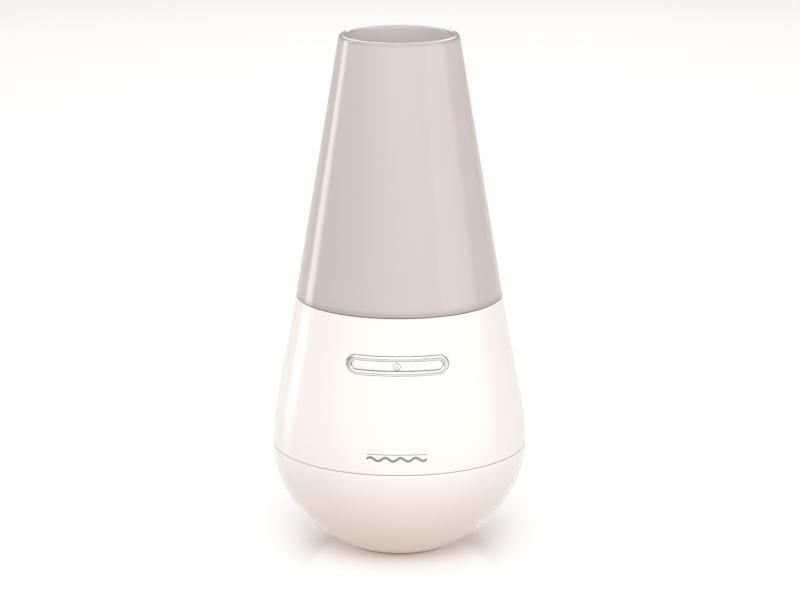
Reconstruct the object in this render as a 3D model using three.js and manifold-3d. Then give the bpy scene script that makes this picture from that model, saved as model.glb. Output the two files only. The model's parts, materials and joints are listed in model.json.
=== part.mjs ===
// Cool mist humidifier: a round-bottomed two-part housing, a water basin with an ultrasonic disc,
// a lift-off mist cover and a tall conical shade. Millimetres, +Z up, the origin at the centre of the
// foot's underside. The front, with the button, faces -Y; the power inlet and the air slots face +Y.

import * as THREE from "three";
import { mergeVertices } from "three/addons/utils/BufferGeometryUtils.js";
import Module from "manifold-3d";

// ---------------------------------------------------------------- driving dimensions
const MAX_R = 58; // widest radius, at the seam between the two housings
const LOWER_SEAM_Z = 48.6; // seam between the lower and the upper housing
const UPPER_SEAM_Z = 117; // seam between the upper housing and the shade
const UPPER_SEAM_R = 46.9;
const TOP_Z = 236.1; // the shade's mouth
const MOUTH_R = 26.9;
const GAP = 0.3; // clearance between two pieces that meet

const HOUSING_WALL = 2.4;
const BOWL_DEPTH = 51.6; // the lower housing is an ellipsoid of this depth, cut flat by the foot
const BOWL_POWER = 1.83;
const BOWL_ROOT = 2.18;
const BOWL_FLAT_Z = 0.8; // the lower housing's flat underside
const FOOT_R = 21;
const FOOT_THICKNESS = 1.7;
const SHADE_WALL = 3.3;

const FAN_Y = 24; // the fan, its duct and the basin's air tower share this axis
const FAN_SIZE = 40;
const FAN_HOLE = 16; // a fan hole's distance from the fan's middle, in X and in Y
const CHASSIS_Z = 52;
const CHASSIS_THICKNESS = 2;
const BOARD_Z = 31.1;
const BOARD_THICKNESS = 1.6;

const BASIN_FLOOR_Z = 76; // underside of the basin's floor
const BASIN_FLOOR = 2.5;
const BASIN_TOP_Z = 113.5;
const TOWER_R = 6.8;
const TOWER_BORE_R = 5.2;
const TOWER_LOW_Z = 72;

const BUTTON_Z = 96.5; // middle of the button, on the housing's surface
const BEZEL_WIDTH = 45.3;
const BEZEL_HEIGHT = 8.4;
const BUTTON_WIDTH = 40.3;
const BUTTON_HEIGHT = 4;
const BUTTON_TRAVEL = 0.9;

const SCREW_HOLE_R = 1.6; // holes for the housings', the feet's and the fan's screws
const BOARD_HOLE_R = 1.4;
const SMALL_HOLE_R = 1.3; // holes for the clamp's and the LED board's screws

const SEGMENTS = 32; // round the large shells
const MEDIUM = 16; // round middle-sized pieces
const FINE = 10; // round small cylinders
const QUARTER = Math.PI / 2;

// ---------------------------------------------------------------- solids
const wasm = await Module();
wasm.setup();

function toSolid(geometry) {
  const loose = geometry.index ? geometry.toNonIndexed() : geometry;
  const bare = new THREE.BufferGeometry().setAttribute("position", loose.getAttribute("position"));
  const merged = mergeVertices(bare, 1e-4);
  return new wasm.Manifold(
    new wasm.Mesh({
      numProp: 3,
      vertProperties: merged.attributes.position.array,
      triVerts: new Uint32Array(merged.index.array),
    }),
  );
}

function toGeometry(solid) {
  const { vertProperties, triVerts } = solid.getMesh();
  const geometry = new THREE.BufferGeometry();
  geometry.setAttribute("position", new THREE.BufferAttribute(new Float32Array(vertProperties), 3));
  geometry.setIndex(new THREE.BufferAttribute(new Uint32Array(triVerts), 1));
  geometry.computeVertexNormals();
  return geometry;
}

const join = (first, ...rest) =>
  toGeometry(rest.reduce((sum, g) => sum.add(toSolid(g)), toSolid(first)));
const cut = (first, ...rest) =>
  toGeometry(rest.reduce((left, g) => left.subtract(toSolid(g)), toSolid(first)));
const common = (a, b) => toGeometry(toSolid(a).intersect(toSolid(b)));

// A solid of revolution about Z. The profile is [r, z] pairs, up the outside and down the inside.
function lathe(profile, segments = SEGMENTS) {
  const points = profile.map(([r, z]) => new THREE.Vector2(r, z));
  const closed = profile[0][0] > 0 || profile.at(-1)[0] > 0;
  if (closed) points.push(points[0].clone());
  return new THREE.LatheGeometry(points, segments).rotateX(QUARTER);
}

function cylinder(radius, low, high, x = 0, y = 0, segments = FINE) {
  const geometry = new THREE.CylinderGeometry(radius, radius, high - low, segments);
  return geometry.rotateX(QUARTER).translate(x, y, (low + high) / 2);
}

// A cylinder along Y.
function rod(radius, from, to, z, segments = FINE) {
  const geometry = new THREE.CylinderGeometry(radius, radius, to - from, segments);
  return geometry.translate(0, (from + to) / 2, z);
}

// A box of that width (X), depth (Y) and height (Z), from its middle in X and Y and its lowest Z.
function box(width, depth, height, x = 0, y = 0, low = 0) {
  return new THREE.BoxGeometry(width, depth, height).translate(x, y, low + height / 2);
}

// The corners of a regular set of places round the Z axis, angles in degrees from +X.
function ring(radius, angles) {
  return angles.map((a) => {
    const turn = THREE.MathUtils.degToRad(a);
    return [radius * Math.cos(turn), radius * Math.sin(turn)];
  });
}

// A flat rounded oval of that width and height in its own XY plane, from low to high along its Z.
function oval(width, height, low, high) {
  const r = height / 2;
  const straight = width / 2 - r;
  const shape = new THREE.Shape();
  shape.moveTo(-straight, -r);
  shape.lineTo(straight, -r);
  shape.absarc(straight, 0, r, -QUARTER, QUARTER);
  shape.lineTo(-straight, r);
  shape.absarc(-straight, 0, r, QUARTER, 3 * QUARTER);
  const options = { depth: high - low, bevelEnabled: false, curveSegments: 6 };
  return new THREE.ExtrudeGeometry(shape, options).translate(0, 0, low);
}

// A pan-head screw whose head lies below z 0, its shank pointing up.
function screw(headR, headHeight, shankR, length) {
  const profile = [[0, -headHeight], [headR * 0.8, -headHeight], [headR, -headHeight * 0.6], [headR, 0],
    [shankR, 0], [shankR, length - shankR], [0, length]];
  return lathe(profile, 8);
}

// ---------------------------------------------------------------- the outline
function bowlRadius(z) {
  const share = (LOWER_SEAM_Z - z) / BOWL_DEPTH;
  return MAX_R * (1 - share ** BOWL_POWER) ** (1 / BOWL_ROOT);
}

const SHADE_SLOPE = (UPPER_SEAM_R - MOUTH_R) / (TOP_Z - UPPER_SEAM_Z);
const shadeRadius = (z) => MOUTH_R + (TOP_Z - z) * SHADE_SLOPE;

// The upper housing's side: upright at the widest ring, in line with the shade at its top.
const bodyCurve = new THREE.CubicBezierCurve(
  new THREE.Vector2(MAX_R, LOWER_SEAM_Z),
  new THREE.Vector2(MAX_R, LOWER_SEAM_Z + 16),
  new THREE.Vector2(UPPER_SEAM_R + 34 * SHADE_SLOPE, UPPER_SEAM_Z - 34),
  new THREE.Vector2(UPPER_SEAM_R, UPPER_SEAM_Z),
);

// The body's radius and outward slope angle at a height.
function bodyAt(z) {
  let low = 0;
  let high = 1;
  for (let i = 0; i < 40; i++) {
    const middle = (low + high) / 2;
    if (bodyCurve.getPoint(middle).y < z) low = middle;
    else high = middle;
  }
  const tangent = bodyCurve.getTangent(low);
  return { radius: bodyCurve.getPoint(low).x, lean: Math.atan2(-tangent.x, tangent.y) };
}

// Points of the body's side between two heights, moved inwards by an inset along the surface normal.
function bodySide(from, to, count, inset) {
  const points = [];
  for (let i = 0; i <= count; i++) {
    const z = from + ((to - from) * i) / count;
    const { radius, lean } = bodyAt(z);
    points.push([radius - inset / Math.cos(lean), z]);
  }
  return points;
}

// Points up the bowl's side, crowded towards the bottom, moved inwards by an inset.
function bowlSide(from, to, count, inset) {
  const points = [];
  for (let i = 0; i <= count; i++) {
    const z = from + (to - from) * (i / count) ** 1.6;
    const step = 0.05;
    const slope = (bowlRadius(z + step) - bowlRadius(z)) / step;
    const scale = inset / Math.hypot(1, slope);
    points.push([bowlRadius(z) - scale, z + slope * scale]);
  }
  return points;
}

// ---------------------------------------------------------------- shade and mist cover
const SPIGOT_R = 43.9; // the shade's lower end plugs into the housing's rim
const SPIGOT_LOW_Z = 113.9;
const SPIGOT_BORE_R = 41.4;

function mistShade() {
  const seat = UPPER_SEAM_Z + GAP;
  const lip = SHADE_WALL / 2;
  const lipZ = TOP_Z - lip;
  const outside = [[SPIGOT_R, SPIGOT_LOW_Z], [SPIGOT_R, seat], [shadeRadius(seat), seat]];
  const mouth = [];
  for (let i = 0; i <= 4; i++) {
    const turn = (Math.PI * i) / 4;
    mouth.push([shadeRadius(lipZ) - lip + lip * Math.cos(turn), lipZ + lip * Math.sin(turn)]);
  }
  const stepZ = UPPER_SEAM_Z + 4.5;
  const inside = [
    [shadeRadius(stepZ) - SHADE_WALL, stepZ], [SPIGOT_BORE_R, seat], [SPIGOT_BORE_R, SPIGOT_LOW_Z],
  ];
  return lathe([...outside, ...mouth, ...inside]);
}

const COVER_R = 40.8;
const COVER_LOW_Z = BASIN_TOP_Z + GAP;
const CROWN_Z = 123.3; // top of the mist outlet
const OUTLET_R = 7;

function mistCover() {
  const skirtR = 35.6;
  const skirtLow = 109;
  return lathe([
    [skirtR - 1.2, skirtLow], [skirtR, skirtLow], [skirtR, COVER_LOW_Z], [COVER_R, COVER_LOW_Z],
    [COVER_R, COVER_LOW_Z + 1.2], [COVER_R - 1, COVER_LOW_Z + 1.9], [17.2, 117.2], [16.2, 118],
    [13.2, CROWN_Z - 1], [11.6, CROWN_Z], [OUTLET_R, CROWN_Z], [OUTLET_R, CROWN_Z - 1.8],
    [11.8, CROWN_Z - 2.1], [15, 116.4],
    [skirtR - 1.2, COVER_LOW_Z + 0.1],
  ]);
}

// ---------------------------------------------------------------- housings
const BUTTON_SURFACE = bodyAt(BUTTON_Z);

// Moves a geometry from the button's own frame, with Z straight out of the housing and Y up.
function atButton(geometry) {
  return geometry.rotateX(QUARTER).translate(0, -BUTTON_SURFACE.radius, BUTTON_Z);
}

// A layer of the body's side round the button, from an outer inset to an inner one.
function bodyLayer(outerInset, innerInset) {
  const reach = 8;
  const outer = bodySide(BUTTON_Z - reach, BUTTON_Z + reach, 1, outerInset);
  const inner = bodySide(BUTTON_Z - reach, BUTTON_Z + reach, 1, innerInset);
  return lathe([...outer, ...inner.reverse()]);
}

const HOUSING_BOSSES = ring(50.5, [90, 210, 330]);
const STAKE_X = 10; // the button board hangs on two heat-staked pegs
const STAKE_Y = -7.2;
const STAKE_R = 0.9;
const BUTTON_BOARD_DEPTH = 9.3; // the button board's front face, behind the housing's surface
const BUTTON_BOARD_THICKNESS = 1.2;
const LEDGE_TOP_Z = 110.5; // the ledge that carries the basin's flange
const LEDGE_R = 40.6;

// An oval cutter or blank through the housing's side round the button.
const throughSide = (width, height) => atButton(oval(width, height, -16, 9));

function upperHousing() {
  const low = LOWER_SEAM_Z + GAP / 2;
  const rimInner = SPIGOT_R + GAP;
  const wallTop = 105;
  const shell = lathe([
    ...bodySide(low, UPPER_SEAM_Z - 0.6, 5, 0),
    [UPPER_SEAM_R - 0.4, UPPER_SEAM_Z], [rimInner, UPPER_SEAM_Z], [rimInner, LEDGE_TOP_Z],
    [LEDGE_R, LEDGE_TOP_Z], [LEDGE_R, LEDGE_TOP_Z - 1.6],
    ...bodySide(low, wallTop, 3, HOUSING_WALL).reverse(),
  ]);
  const bossR = 3.4;
  const bossHeight = 12;
  const bossLow = CHASSIS_Z + CHASSIS_THICKNESS + GAP;
  const bosses = HOUSING_BOSSES.flatMap(([x, y]) => {
    const rib = box(6, 2, bossHeight, 52.6, 0, bossLow).rotateZ(Math.atan2(y, x));
    return [cylinder(bossR, bossLow, bossLow + bossHeight, x, y), rib];
  });
  const holes = HOUSING_BOSSES.map(([x, y]) => cylinder(SCREW_HOLE_R, bossLow - 1, bossLow + 9, x, y));
  const front = BUTTON_BOARD_DEPTH - GAP;
  const back = BUTTON_BOARD_DEPTH + BUTTON_BOARD_THICKNESS + GAP;
  const stakes = [-1, 1].flatMap((side) => [
    atButton(cylinder(2.4, -front, -1.2, side * STAKE_X, STAKE_Y)),
    atButton(cylinder(STAKE_R, -back - 0.5, -front + 1, side * STAKE_X, STAKE_Y)),
    atButton(cylinder(1.9, -back - 0.8, -back, side * STAKE_X, STAKE_Y)),
  ]);
  const window = throughSide(BEZEL_WIDTH + 2 * GAP, BEZEL_HEIGHT + 2 * GAP);
  return cut(join(shell, ...bosses, ...stakes), ...holes, window);
}

const BASE_BOSSES = ring(14, [270, 30, 150]);
const JACK_Z = 37;
const JACK_FLANGE_Y = 53.8;
const JACK_FLANGE_R = 5.6;
const JACK_BARREL_R = 4;
const JACK_INNER_Y = 44.6; // the bottom of the jack's bore
const BASE_BOSS_TOP_Z = 7;
const VENT_ANGLES = [-27, -18, -9, 0, 9, 18, 27];

function lowerHousing() {
  const rim = LOWER_SEAM_Z - GAP / 2;
  const tongueR = MAX_R - HOUSING_WALL - 0.4;
  const tongue = 1.5;
  const tongueHeight = 3;
  const pocket = FOOT_THICKNESS + GAP;
  const floorTop = pocket + HOUSING_WALL;
  const inner = bowlSide(BOWL_FLAT_Z + 1.2, 44, 4, HOUSING_WALL).reverse();
  const shell = lathe([
    [0, pocket], [FOOT_R + GAP, pocket], [FOOT_R + GAP, BOWL_FLAT_Z],
    ...bowlSide(BOWL_FLAT_Z, rim, 8, 0),
    [tongueR, rim], [tongueR, rim + tongueHeight], [tongueR - tongue, rim + tongueHeight],
    [tongueR - tongue, rim - tongueHeight],
    ...inner, [0, floorTop],
  ]);
  const bosses = BASE_BOSSES.map(([x, y]) => cylinder(5, floorTop - 0.5, BASE_BOSS_TOP_Z, x, y));
  const outline = lathe([[0, BOWL_FLAT_Z], ...bowlSide(BOWL_FLAT_Z, rim, 8, 0.1), [0, rim]]);
  const jackSeat = common(rod(8.5, 50.1, MAX_R, JACK_Z), outline);
  const headWells = BASE_BOSSES.map(([x, y]) => cylinder(3.2, pocket - 1, pocket + 1.9, x, y));
  const screwHoles = BASE_BOSSES.map(([x, y]) => cylinder(SCREW_HOLE_R, pocket, BASE_BOSS_TOP_Z + 1, x, y));
  const jackHole = rod(JACK_BARREL_R + GAP, 45, MAX_R, JACK_Z);
  const jackRecess = rod(JACK_FLANGE_R + 0.7, JACK_FLANGE_Y - GAP, MAX_R + 2, JACK_Z);
  const vents = VENT_ANGLES.map((a) =>
    box(2.2, 26, 12, 0, 50, 15).rotateZ(THREE.MathUtils.degToRad(a)),
  );
  return cut(
    join(shell, ...bosses, jackSeat), ...headWells, ...screwHoles, jackHole, jackRecess, ...vents,
  );
}

function baseFoot() {
  return lathe([[0, 0], [FOOT_R - 0.6, 0], [FOOT_R, 0.5], [FOOT_R, FOOT_THICKNESS], [0, FOOT_THICKNESS]]);
}

// ---------------------------------------------------------------- chassis
const BOARD_POSTS = ring(34, [270, 0, 180]);
const FAN_LEAD_Y = FAN_Y - 8;
const FAN_BORE_R = 18.6;
const FAN_SCREWS = [[-FAN_HOLE, FAN_Y - FAN_HOLE], [FAN_HOLE, FAN_Y + FAN_HOLE]];

function chassis() {
  const top = CHASSIS_Z + CHASSIS_THICKNESS;
  const rooted = CHASSIS_Z + 1; // legs and posts end inside the plate
  const plate = cylinder(52.6, CHASSIS_Z, top, 0, 0, SEGMENTS);
  const legs = BASE_BOSSES.map(([x, y]) => cylinder(3.6, BASE_BOSS_TOP_Z + GAP, rooted, x, y));
  const posts = BOARD_POSTS.map(([x, y]) => cylinder(3, BOARD_Z + BOARD_THICKNESS + GAP, rooted, x, y));
  const fanBosses = FAN_SCREWS.map(([x, y]) => cylinder(3, CHASSIS_Z - 6, rooted, x, y));
  const through = (radius, [x, y], low) => cylinder(radius, low, top + 1, x, y);
  const holes = [
    ...BASE_BOSSES.map(([x, y]) => cylinder(SCREW_HOLE_R, 6, 18, x, y)),
    ...BOARD_POSTS.map(([x, y]) => cylinder(BOARD_HOLE_R, 30, 42, x, y)),
    ...HOUSING_BOSSES.map((place) => through(SCREW_HOLE_R, place, CHASSIS_Z - 1)),
    ...FAN_SCREWS.map((place) => through(SCREW_HOLE_R, place, CHASSIS_Z - 7)),
  ];
  const airInlet = cylinder(FAN_BORE_R, CHASSIS_Z - 1, top + 1, 0, FAN_Y, MEDIUM);
  const leadHole = through(4.5, [0, -2], CHASSIS_Z - 1);
  const frontNotch = box(9, 10, 8, 0, -50, CHASSIS_Z - 3); // for the button's lead
  const sideNotch = box(5, 5, 8, 24, FAN_LEAD_Y, CHASSIS_Z - 3); // for the fan's lead
  const solid = join(plate, ...legs, ...posts, ...fanBosses);
  return cut(solid, ...holes, airInlet, leadHole, frontNotch, sideNotch);
}

// ---------------------------------------------------------------- fan and duct
const FAN_LOW_Z = CHASSIS_Z + CHASSIS_THICKNESS + GAP;
const FAN_HEIGHT = 10;
const ROTOR_R = 18;
const HUB_R = 10.2;
const BEARING_R = 2.6;
const SHAFT_R = 1;

function fanFrame() {
  const high = FAN_LOW_Z + FAN_HEIGHT;
  const plateThickness = 1.4;
  const block = box(FAN_SIZE, FAN_SIZE, FAN_HEIGHT, 0, 0, FAN_LOW_Z);
  const bore = cylinder(FAN_BORE_R, FAN_LOW_Z - 1, high + 1, 0, 0, MEDIUM);
  const corners = [[-1, -1], [1, -1], [1, 1], [-1, 1]].map(([i, j]) =>
    cylinder(1.7, FAN_LOW_Z - 1, high + 1, i * FAN_HOLE, j * FAN_HOLE),
  );
  const plate = cylinder(9.6, FAN_LOW_Z, FAN_LOW_Z + plateThickness);
  const post = cylinder(4.2, FAN_LOW_Z, FAN_LOW_Z + 6.2);
  const strut = FAN_BORE_R + 0.6;
  const struts = [0, 1, 2].map((i) =>
    box(strut, 2, plateThickness, strut / 2, 0, FAN_LOW_Z).rotateZ((i * 2 * Math.PI) / 3 + 0.6),
  );
  const bearingHole = cylinder(BEARING_R + GAP, FAN_LOW_Z + 1, high);
  return cut(join(cut(block, bore, ...corners), plate, post, ...struts), bearingHole).translate(0, FAN_Y, 0);
}

function fanRotor() {
  const low = FAN_LOW_Z + 1.9;
  const high = FAN_LOW_Z + FAN_HEIGHT - 0.4;
  const wall = 1.2;
  const hub = lathe(
    [[HUB_R - wall, low], [HUB_R, low], [HUB_R, high - 0.8], [HUB_R - 0.8, high], [0, high],
      [0, high - 1.6], [HUB_R - wall, high - 1.6]],
    MEDIUM,
  );
  const count = 7;
  const pitch = THREE.MathUtils.degToRad(38);
  const blades = [];
  for (let i = 0; i < count; i++) {
    const blade = new THREE.BoxGeometry(ROTOR_R - HUB_R + 2, 9, 1);
    blade.rotateX(pitch).translate((ROTOR_R + HUB_R) / 2, 0, (low + high) / 2);
    blades.push(blade.rotateZ((i * 2 * Math.PI) / count));
  }
  const swept = cylinder(ROTOR_R, low + 0.4, high - 0.4, 0, 0, MEDIUM);
  const sweep = cut(swept, cylinder(HUB_R - 0.6, low - 1, high + 1));
  const trimmed = common(join(...blades), sweep);
  const shaftHole = cylinder(SHAFT_R + GAP, high - 3, high - 0.5);
  return cut(join(hub, trimmed), shaftHole).translate(0, FAN_Y, 0);
}

function fanStator() {
  const low = FAN_LOW_Z + 1.4 + GAP;
  const yoke = lathe([[4.5, low], [6, low], [6, low + 4.4], [4.5, low + 4.4]], FINE);
  const poles = [0, 1, 2, 3].map((i) => box(3.4, 3, 3.8, 6.6, 0, low + 0.3).rotateZ(i * QUARTER));
  return join(yoke, ...poles).translate(0, FAN_Y, 0);
}

function fanBearing() {
  const low = FAN_LOW_Z + 1 + GAP;
  const bore = SHAFT_R + 0.3;
  const high = low + 4.6;
  return lathe([[bore, low], [BEARING_R, low], [BEARING_R, high], [bore, high]], FINE).translate(0, FAN_Y, 0);
}

const fanShaft = () =>
  cylinder(SHAFT_R, FAN_LOW_Z + 1.7, FAN_LOW_Z + FAN_HEIGHT - 1.2, 0, FAN_Y);

const DUCT_LOW_Z = FAN_LOW_Z + FAN_HEIGHT + GAP;
const DUCT_WALL = 1.2;

function fanDuct() {
  const sleeveR = TOWER_R + 0.4;
  const funnelLow = DUCT_LOW_Z + 2;
  const sleeveLow = DUCT_LOW_Z + 4.4;
  const high = BASIN_FLOOR_Z - 0.4;
  const flange = cut(
    box(FAN_SIZE, FAN_SIZE, 1.6, 0, 0, DUCT_LOW_Z),
    cylinder(FAN_BORE_R - 0.4, DUCT_LOW_Z - 1, DUCT_LOW_Z + 3, 0, 0, MEDIUM),
    ...FAN_SCREWS.map(([x, y]) => cylinder(SCREW_HOLE_R, DUCT_LOW_Z - 1, DUCT_LOW_Z + 3, x, y - FAN_Y)),
  );
  const funnel = lathe(
    [[FAN_BORE_R - 0.6, DUCT_LOW_Z], [FAN_BORE_R + 0.6, DUCT_LOW_Z], [FAN_BORE_R, funnelLow],
      [sleeveR + DUCT_WALL, sleeveLow], [sleeveR + DUCT_WALL, high], [sleeveR, high],
      [sleeveR, sleeveLow - 0.8],
      [FAN_BORE_R - 1.4, funnelLow - 0.6]],
    MEDIUM,
  );
  return join(flange, funnel).translate(0, FAN_Y, 0);
}

// ---------------------------------------------------------------- basin and transducer
const BASIN_TOP_R = 36.5;
const BASIN_LOW_R = 33.5;
const BASIN_WALL = 1.8;
const BASIN_FLOOR_TOP_Z = BASIN_FLOOR_Z + BASIN_FLOOR;
const DISC_HOLE_R = 8.4;
const DISC_R = 10.2;
const SEAL_R = 12.6;
const SEAL_LOW_Z = 71.6;
const DISC_LOW_Z = 73.2;
const DISC_THICKNESS = 0.9;
const CLAMP_THICKNESS = 1.9;
const CLAMP_BOSSES = ring(17.5, [270, 5, 175]);
const LED_BOARD_POSTS = ring(27.5, [0, 180]);
const LED_BOARD_Z = 72.6;
const LED_BOARD_THICKNESS = 1.2;
const LED_PLACES = ring(27.5, [35, 145, 230, 310]);

function tankBasin() {
  const flangeR = SPIGOT_R - 0.4;
  const flangeLow = BASIN_TOP_Z - 1.6;
  const chamfer = 1.2;
  const vessel = lathe([
    [0, BASIN_FLOOR_Z], [BASIN_LOW_R + BASIN_WALL, BASIN_FLOOR_Z], [BASIN_TOP_R + BASIN_WALL, flangeLow],
    [flangeR, flangeLow], [flangeR, BASIN_TOP_Z], [BASIN_TOP_R, BASIN_TOP_Z],
    [BASIN_LOW_R, BASIN_FLOOR_TOP_Z + chamfer], [BASIN_LOW_R - chamfer, BASIN_FLOOR_TOP_Z],
    [0, BASIN_FLOOR_TOP_Z],
  ]);
  const clampPosts = CLAMP_BOSSES.map(([x, y]) => cylinder(2.8, SEAL_LOW_Z, BASIN_FLOOR_Z + 1, x, y));
  const ledPosts = LED_BOARD_POSTS.map(([x, y]) =>
    cylinder(2.6, LED_BOARD_Z + LED_BOARD_THICKNESS + GAP, BASIN_FLOOR_Z + 1, x, y),
  );
  const holes = [
    cylinder(TOWER_R + GAP, BASIN_FLOOR_Z - 1, BASIN_FLOOR_TOP_Z + 1, 0, FAN_Y, MEDIUM),
    cylinder(DISC_HOLE_R, BASIN_FLOOR_Z - 1, BASIN_FLOOR_TOP_Z + 1, 0, 0, MEDIUM),
    ...CLAMP_BOSSES.map(([x, y]) => cylinder(SMALL_HOLE_R, 71, 76.2, x, y)),
    ...LED_BOARD_POSTS.map(([x, y]) => cylinder(SMALL_HOLE_R, 73, 77.2, x, y)),
  ];
  return cut(join(vessel, ...clampPosts, ...ledPosts), ...holes);
}

// The tube that carries the fan's air up through the water. Its collar is sealed to the basin's floor.
function airTower() {
  const collarR = TOWER_R + 1;
  const collarLow = BASIN_FLOOR_TOP_Z + GAP;
  const collarHigh = collarLow + 1;
  const high = 106;
  return lathe(
    [[TOWER_BORE_R, TOWER_LOW_Z], [TOWER_R, TOWER_LOW_Z], [TOWER_R, collarLow], [collarR, collarLow],
      [collarR, collarHigh], [TOWER_R, collarHigh], [TOWER_R, high], [TOWER_BORE_R, high]],
    MEDIUM,
  ).translate(0, FAN_Y, 0);
}

function basinSeal() {
  const low = 110.5 + GAP;
  return lathe([[40.8, low], [43.4, low], [43.4, low + 0.8], [40.8, low + 0.8]]);
}

const transducerDisc = () => cylinder(DISC_R, DISC_LOW_Z, DISC_LOW_Z + DISC_THICKNESS, 0, 0, MEDIUM);

function transducerSeal() {
  const high = BASIN_FLOOR_Z - GAP;
  const grooveLow = DISC_LOW_Z - GAP;
  const grooveHigh = DISC_LOW_Z + DISC_THICKNESS + GAP;
  const lip = DISC_HOLE_R + 0.3;
  return lathe(
    [[lip, SEAL_LOW_Z], [SEAL_R, SEAL_LOW_Z], [SEAL_R, high], [lip, high], [lip, grooveHigh],
      [DISC_R + GAP, grooveHigh], [DISC_R + GAP, grooveLow], [lip, grooveLow]],
    MEDIUM,
  );
}

function transducerClamp() {
  const high = SEAL_LOW_Z - GAP;
  const low = high - CLAMP_THICKNESS;
  const rimTop = 74.5;
  const cup = lathe(
    [[6, low], [14.3, low], [14.3, rimTop], [SEAL_R + GAP, rimTop], [SEAL_R + GAP, high], [6, high]],
    MEDIUM,
  );
  const lugs = CLAMP_BOSSES.flatMap(([x, y]) => [
    cylinder(3.4, low, high, x, y),
    box(5, 4, high - low, 15, 0, low).rotateZ(Math.atan2(y, x)),
  ]);
  const holes = CLAMP_BOSSES.map(([x, y]) => cylinder(SMALL_HOLE_R, low - 1, high + 1, x, y));
  return cut(join(cup, ...lugs), ...holes);
}

function ledBoard() {
  const high = LED_BOARD_Z + LED_BOARD_THICKNESS;
  const board = lathe([[21.5, LED_BOARD_Z], [32.5, LED_BOARD_Z], [32.5, high], [21.5, high]], SEGMENTS);
  return cut(
    board,
    cylinder(11, LED_BOARD_Z - 1, high + 1, 0, FAN_Y),
    box(22, 12, 4, 0, 32, LED_BOARD_Z - 1),
    ...LED_BOARD_POSTS.map(([x, y]) => cylinder(SMALL_HOLE_R, LED_BOARD_Z - 1, high + 1, x, y)),
  );
}

// ---------------------------------------------------------------- main board and inlet
function mainBoard() {
  const high = BOARD_Z + BOARD_THICKNESS;
  return cut(
    cylinder(42, BOARD_Z, high, 0, 0, SEGMENTS),
    ...BASE_BOSSES.map(([x, y]) => cylinder(4.2, BOARD_Z - 1, high + 1, x, y)),
    ...BOARD_POSTS.map(([x, y]) => cylinder(BOARD_HOLE_R, BOARD_Z - 1, high + 1, x, y)),
  );
}

function heatSink() {
  const base = box(20, 2, 14);
  const fins = [-8, -4, 0, 4, 8].map((x) => box(1.2, 7, 14, x, 4));
  return join(base, ...fins);
}

function drumCoil() {
  return lathe([[0, 0], [6.5, 0], [6.5, 1.4], [4.8, 1.8], [4.8, 7.2], [6.5, 7.6], [6.5, 9], [0, 9]], FINE);
}

function capacitor() {
  const side = [[3.6, 0], [4, 0.4], [4, 1.6], [3.7, 2], [4, 2.4], [4, 11.6], [3.6, 12]];
  return lathe([[0, 0], ...side, [0, 12]], FINE);
}

function leadSocket() {
  return cut(box(7, 5.6, 6), box(5.4, 4, 5, 0, 0, 1.6));
}

function dcJack() {
  const face = JACK_FLANGE_Y + 1.4;
  const barrel = rod(JACK_BARREL_R, 41, face - 0.5, JACK_Z);
  const flange = rod(JACK_FLANGE_R, JACK_FLANGE_Y, face, JACK_Z);
  return cut(join(barrel, flange), rod(2.85, JACK_INNER_Y, face + 1, JACK_Z));
}

const dcJackPin = () => rod(1, JACK_INNER_Y + GAP, 54, JACK_Z);

function dcJackNut() {
  return cut(rod(6.4, 48.1, 49.8, JACK_Z, 6), rod(JACK_BARREL_R + GAP, 47, 51, JACK_Z));
}

// ---------------------------------------------------------------- button and switch
const BEZEL_PROUD = 0.5;
const CAP_PROUD = 0.2;
const FLANGE_DEPTH = HOUSING_WALL + GAP; // the button's flange stops behind the bezel
const FLANGE_BACK = FLANGE_DEPTH + 1;
const STEM_TIP = FLANGE_BACK + 0.7;
const PLUNGER_TRAVEL = 0.25;
const PLUNGER_TIP = STEM_TIP + BUTTON_TRAVEL - PLUNGER_TRAVEL + 0.05;
const SWITCH_FACE = PLUNGER_TIP + PLUNGER_TRAVEL + 0.3;

function buttonBezel() {
  const solid = common(bodyLayer(-BEZEL_PROUD, HOUSING_WALL), throughSide(BEZEL_WIDTH, BEZEL_HEIGHT));
  return cut(solid, throughSide(BUTTON_WIDTH + 2 * GAP, BUTTON_HEIGHT + 2 * GAP));
}

function powerButton() {
  const cap = common(bodyLayer(-CAP_PROUD, FLANGE_DEPTH + 0.4), throughSide(BUTTON_WIDTH, BUTTON_HEIGHT));
  const flangeOutline = throughSide(BUTTON_WIDTH + 3, BUTTON_HEIGHT + 2.4);
  const flange = common(bodyLayer(FLANGE_DEPTH, FLANGE_BACK), flangeOutline);
  const stem = atButton(box(4, 3, STEM_TIP - FLANGE_DEPTH - GAP, 0, 0, -STEM_TIP));
  return join(cap, flange, stem);
}

function buttonBoard() {
  const back = -BUTTON_BOARD_DEPTH - BUTTON_BOARD_THICKNESS;
  const board = box(28, 15, BUTTON_BOARD_THICKNESS, 0, -3, back);
  const holes = [-1, 1].map((side) =>
    cylinder(STAKE_R + GAP, back - 1, -BUTTON_BOARD_DEPTH + 1, side * STAKE_X, STAKE_Y),
  );
  return atButton(cut(board, ...holes));
}

function switchBody() {
  const height = BUTTON_BOARD_DEPTH - GAP - SWITCH_FACE;
  const body = box(6, 6, height, 0, 0, -SWITCH_FACE - height);
  const well = cylinder(1.9, -SWITCH_FACE - 1.3, -SWITCH_FACE + 1);
  return atButton(cut(body, well));
}

function switchPlunger() {
  return atButton(cylinder(1.5, -SWITCH_FACE - 0.6, -PLUNGER_TIP));
}

const SPRING_X = 10.5;
const SPRING_COIL_R = 1.3;
const SPRING_WIRE_R = 0.18;
const SPRING_TURNS = 3;

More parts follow.
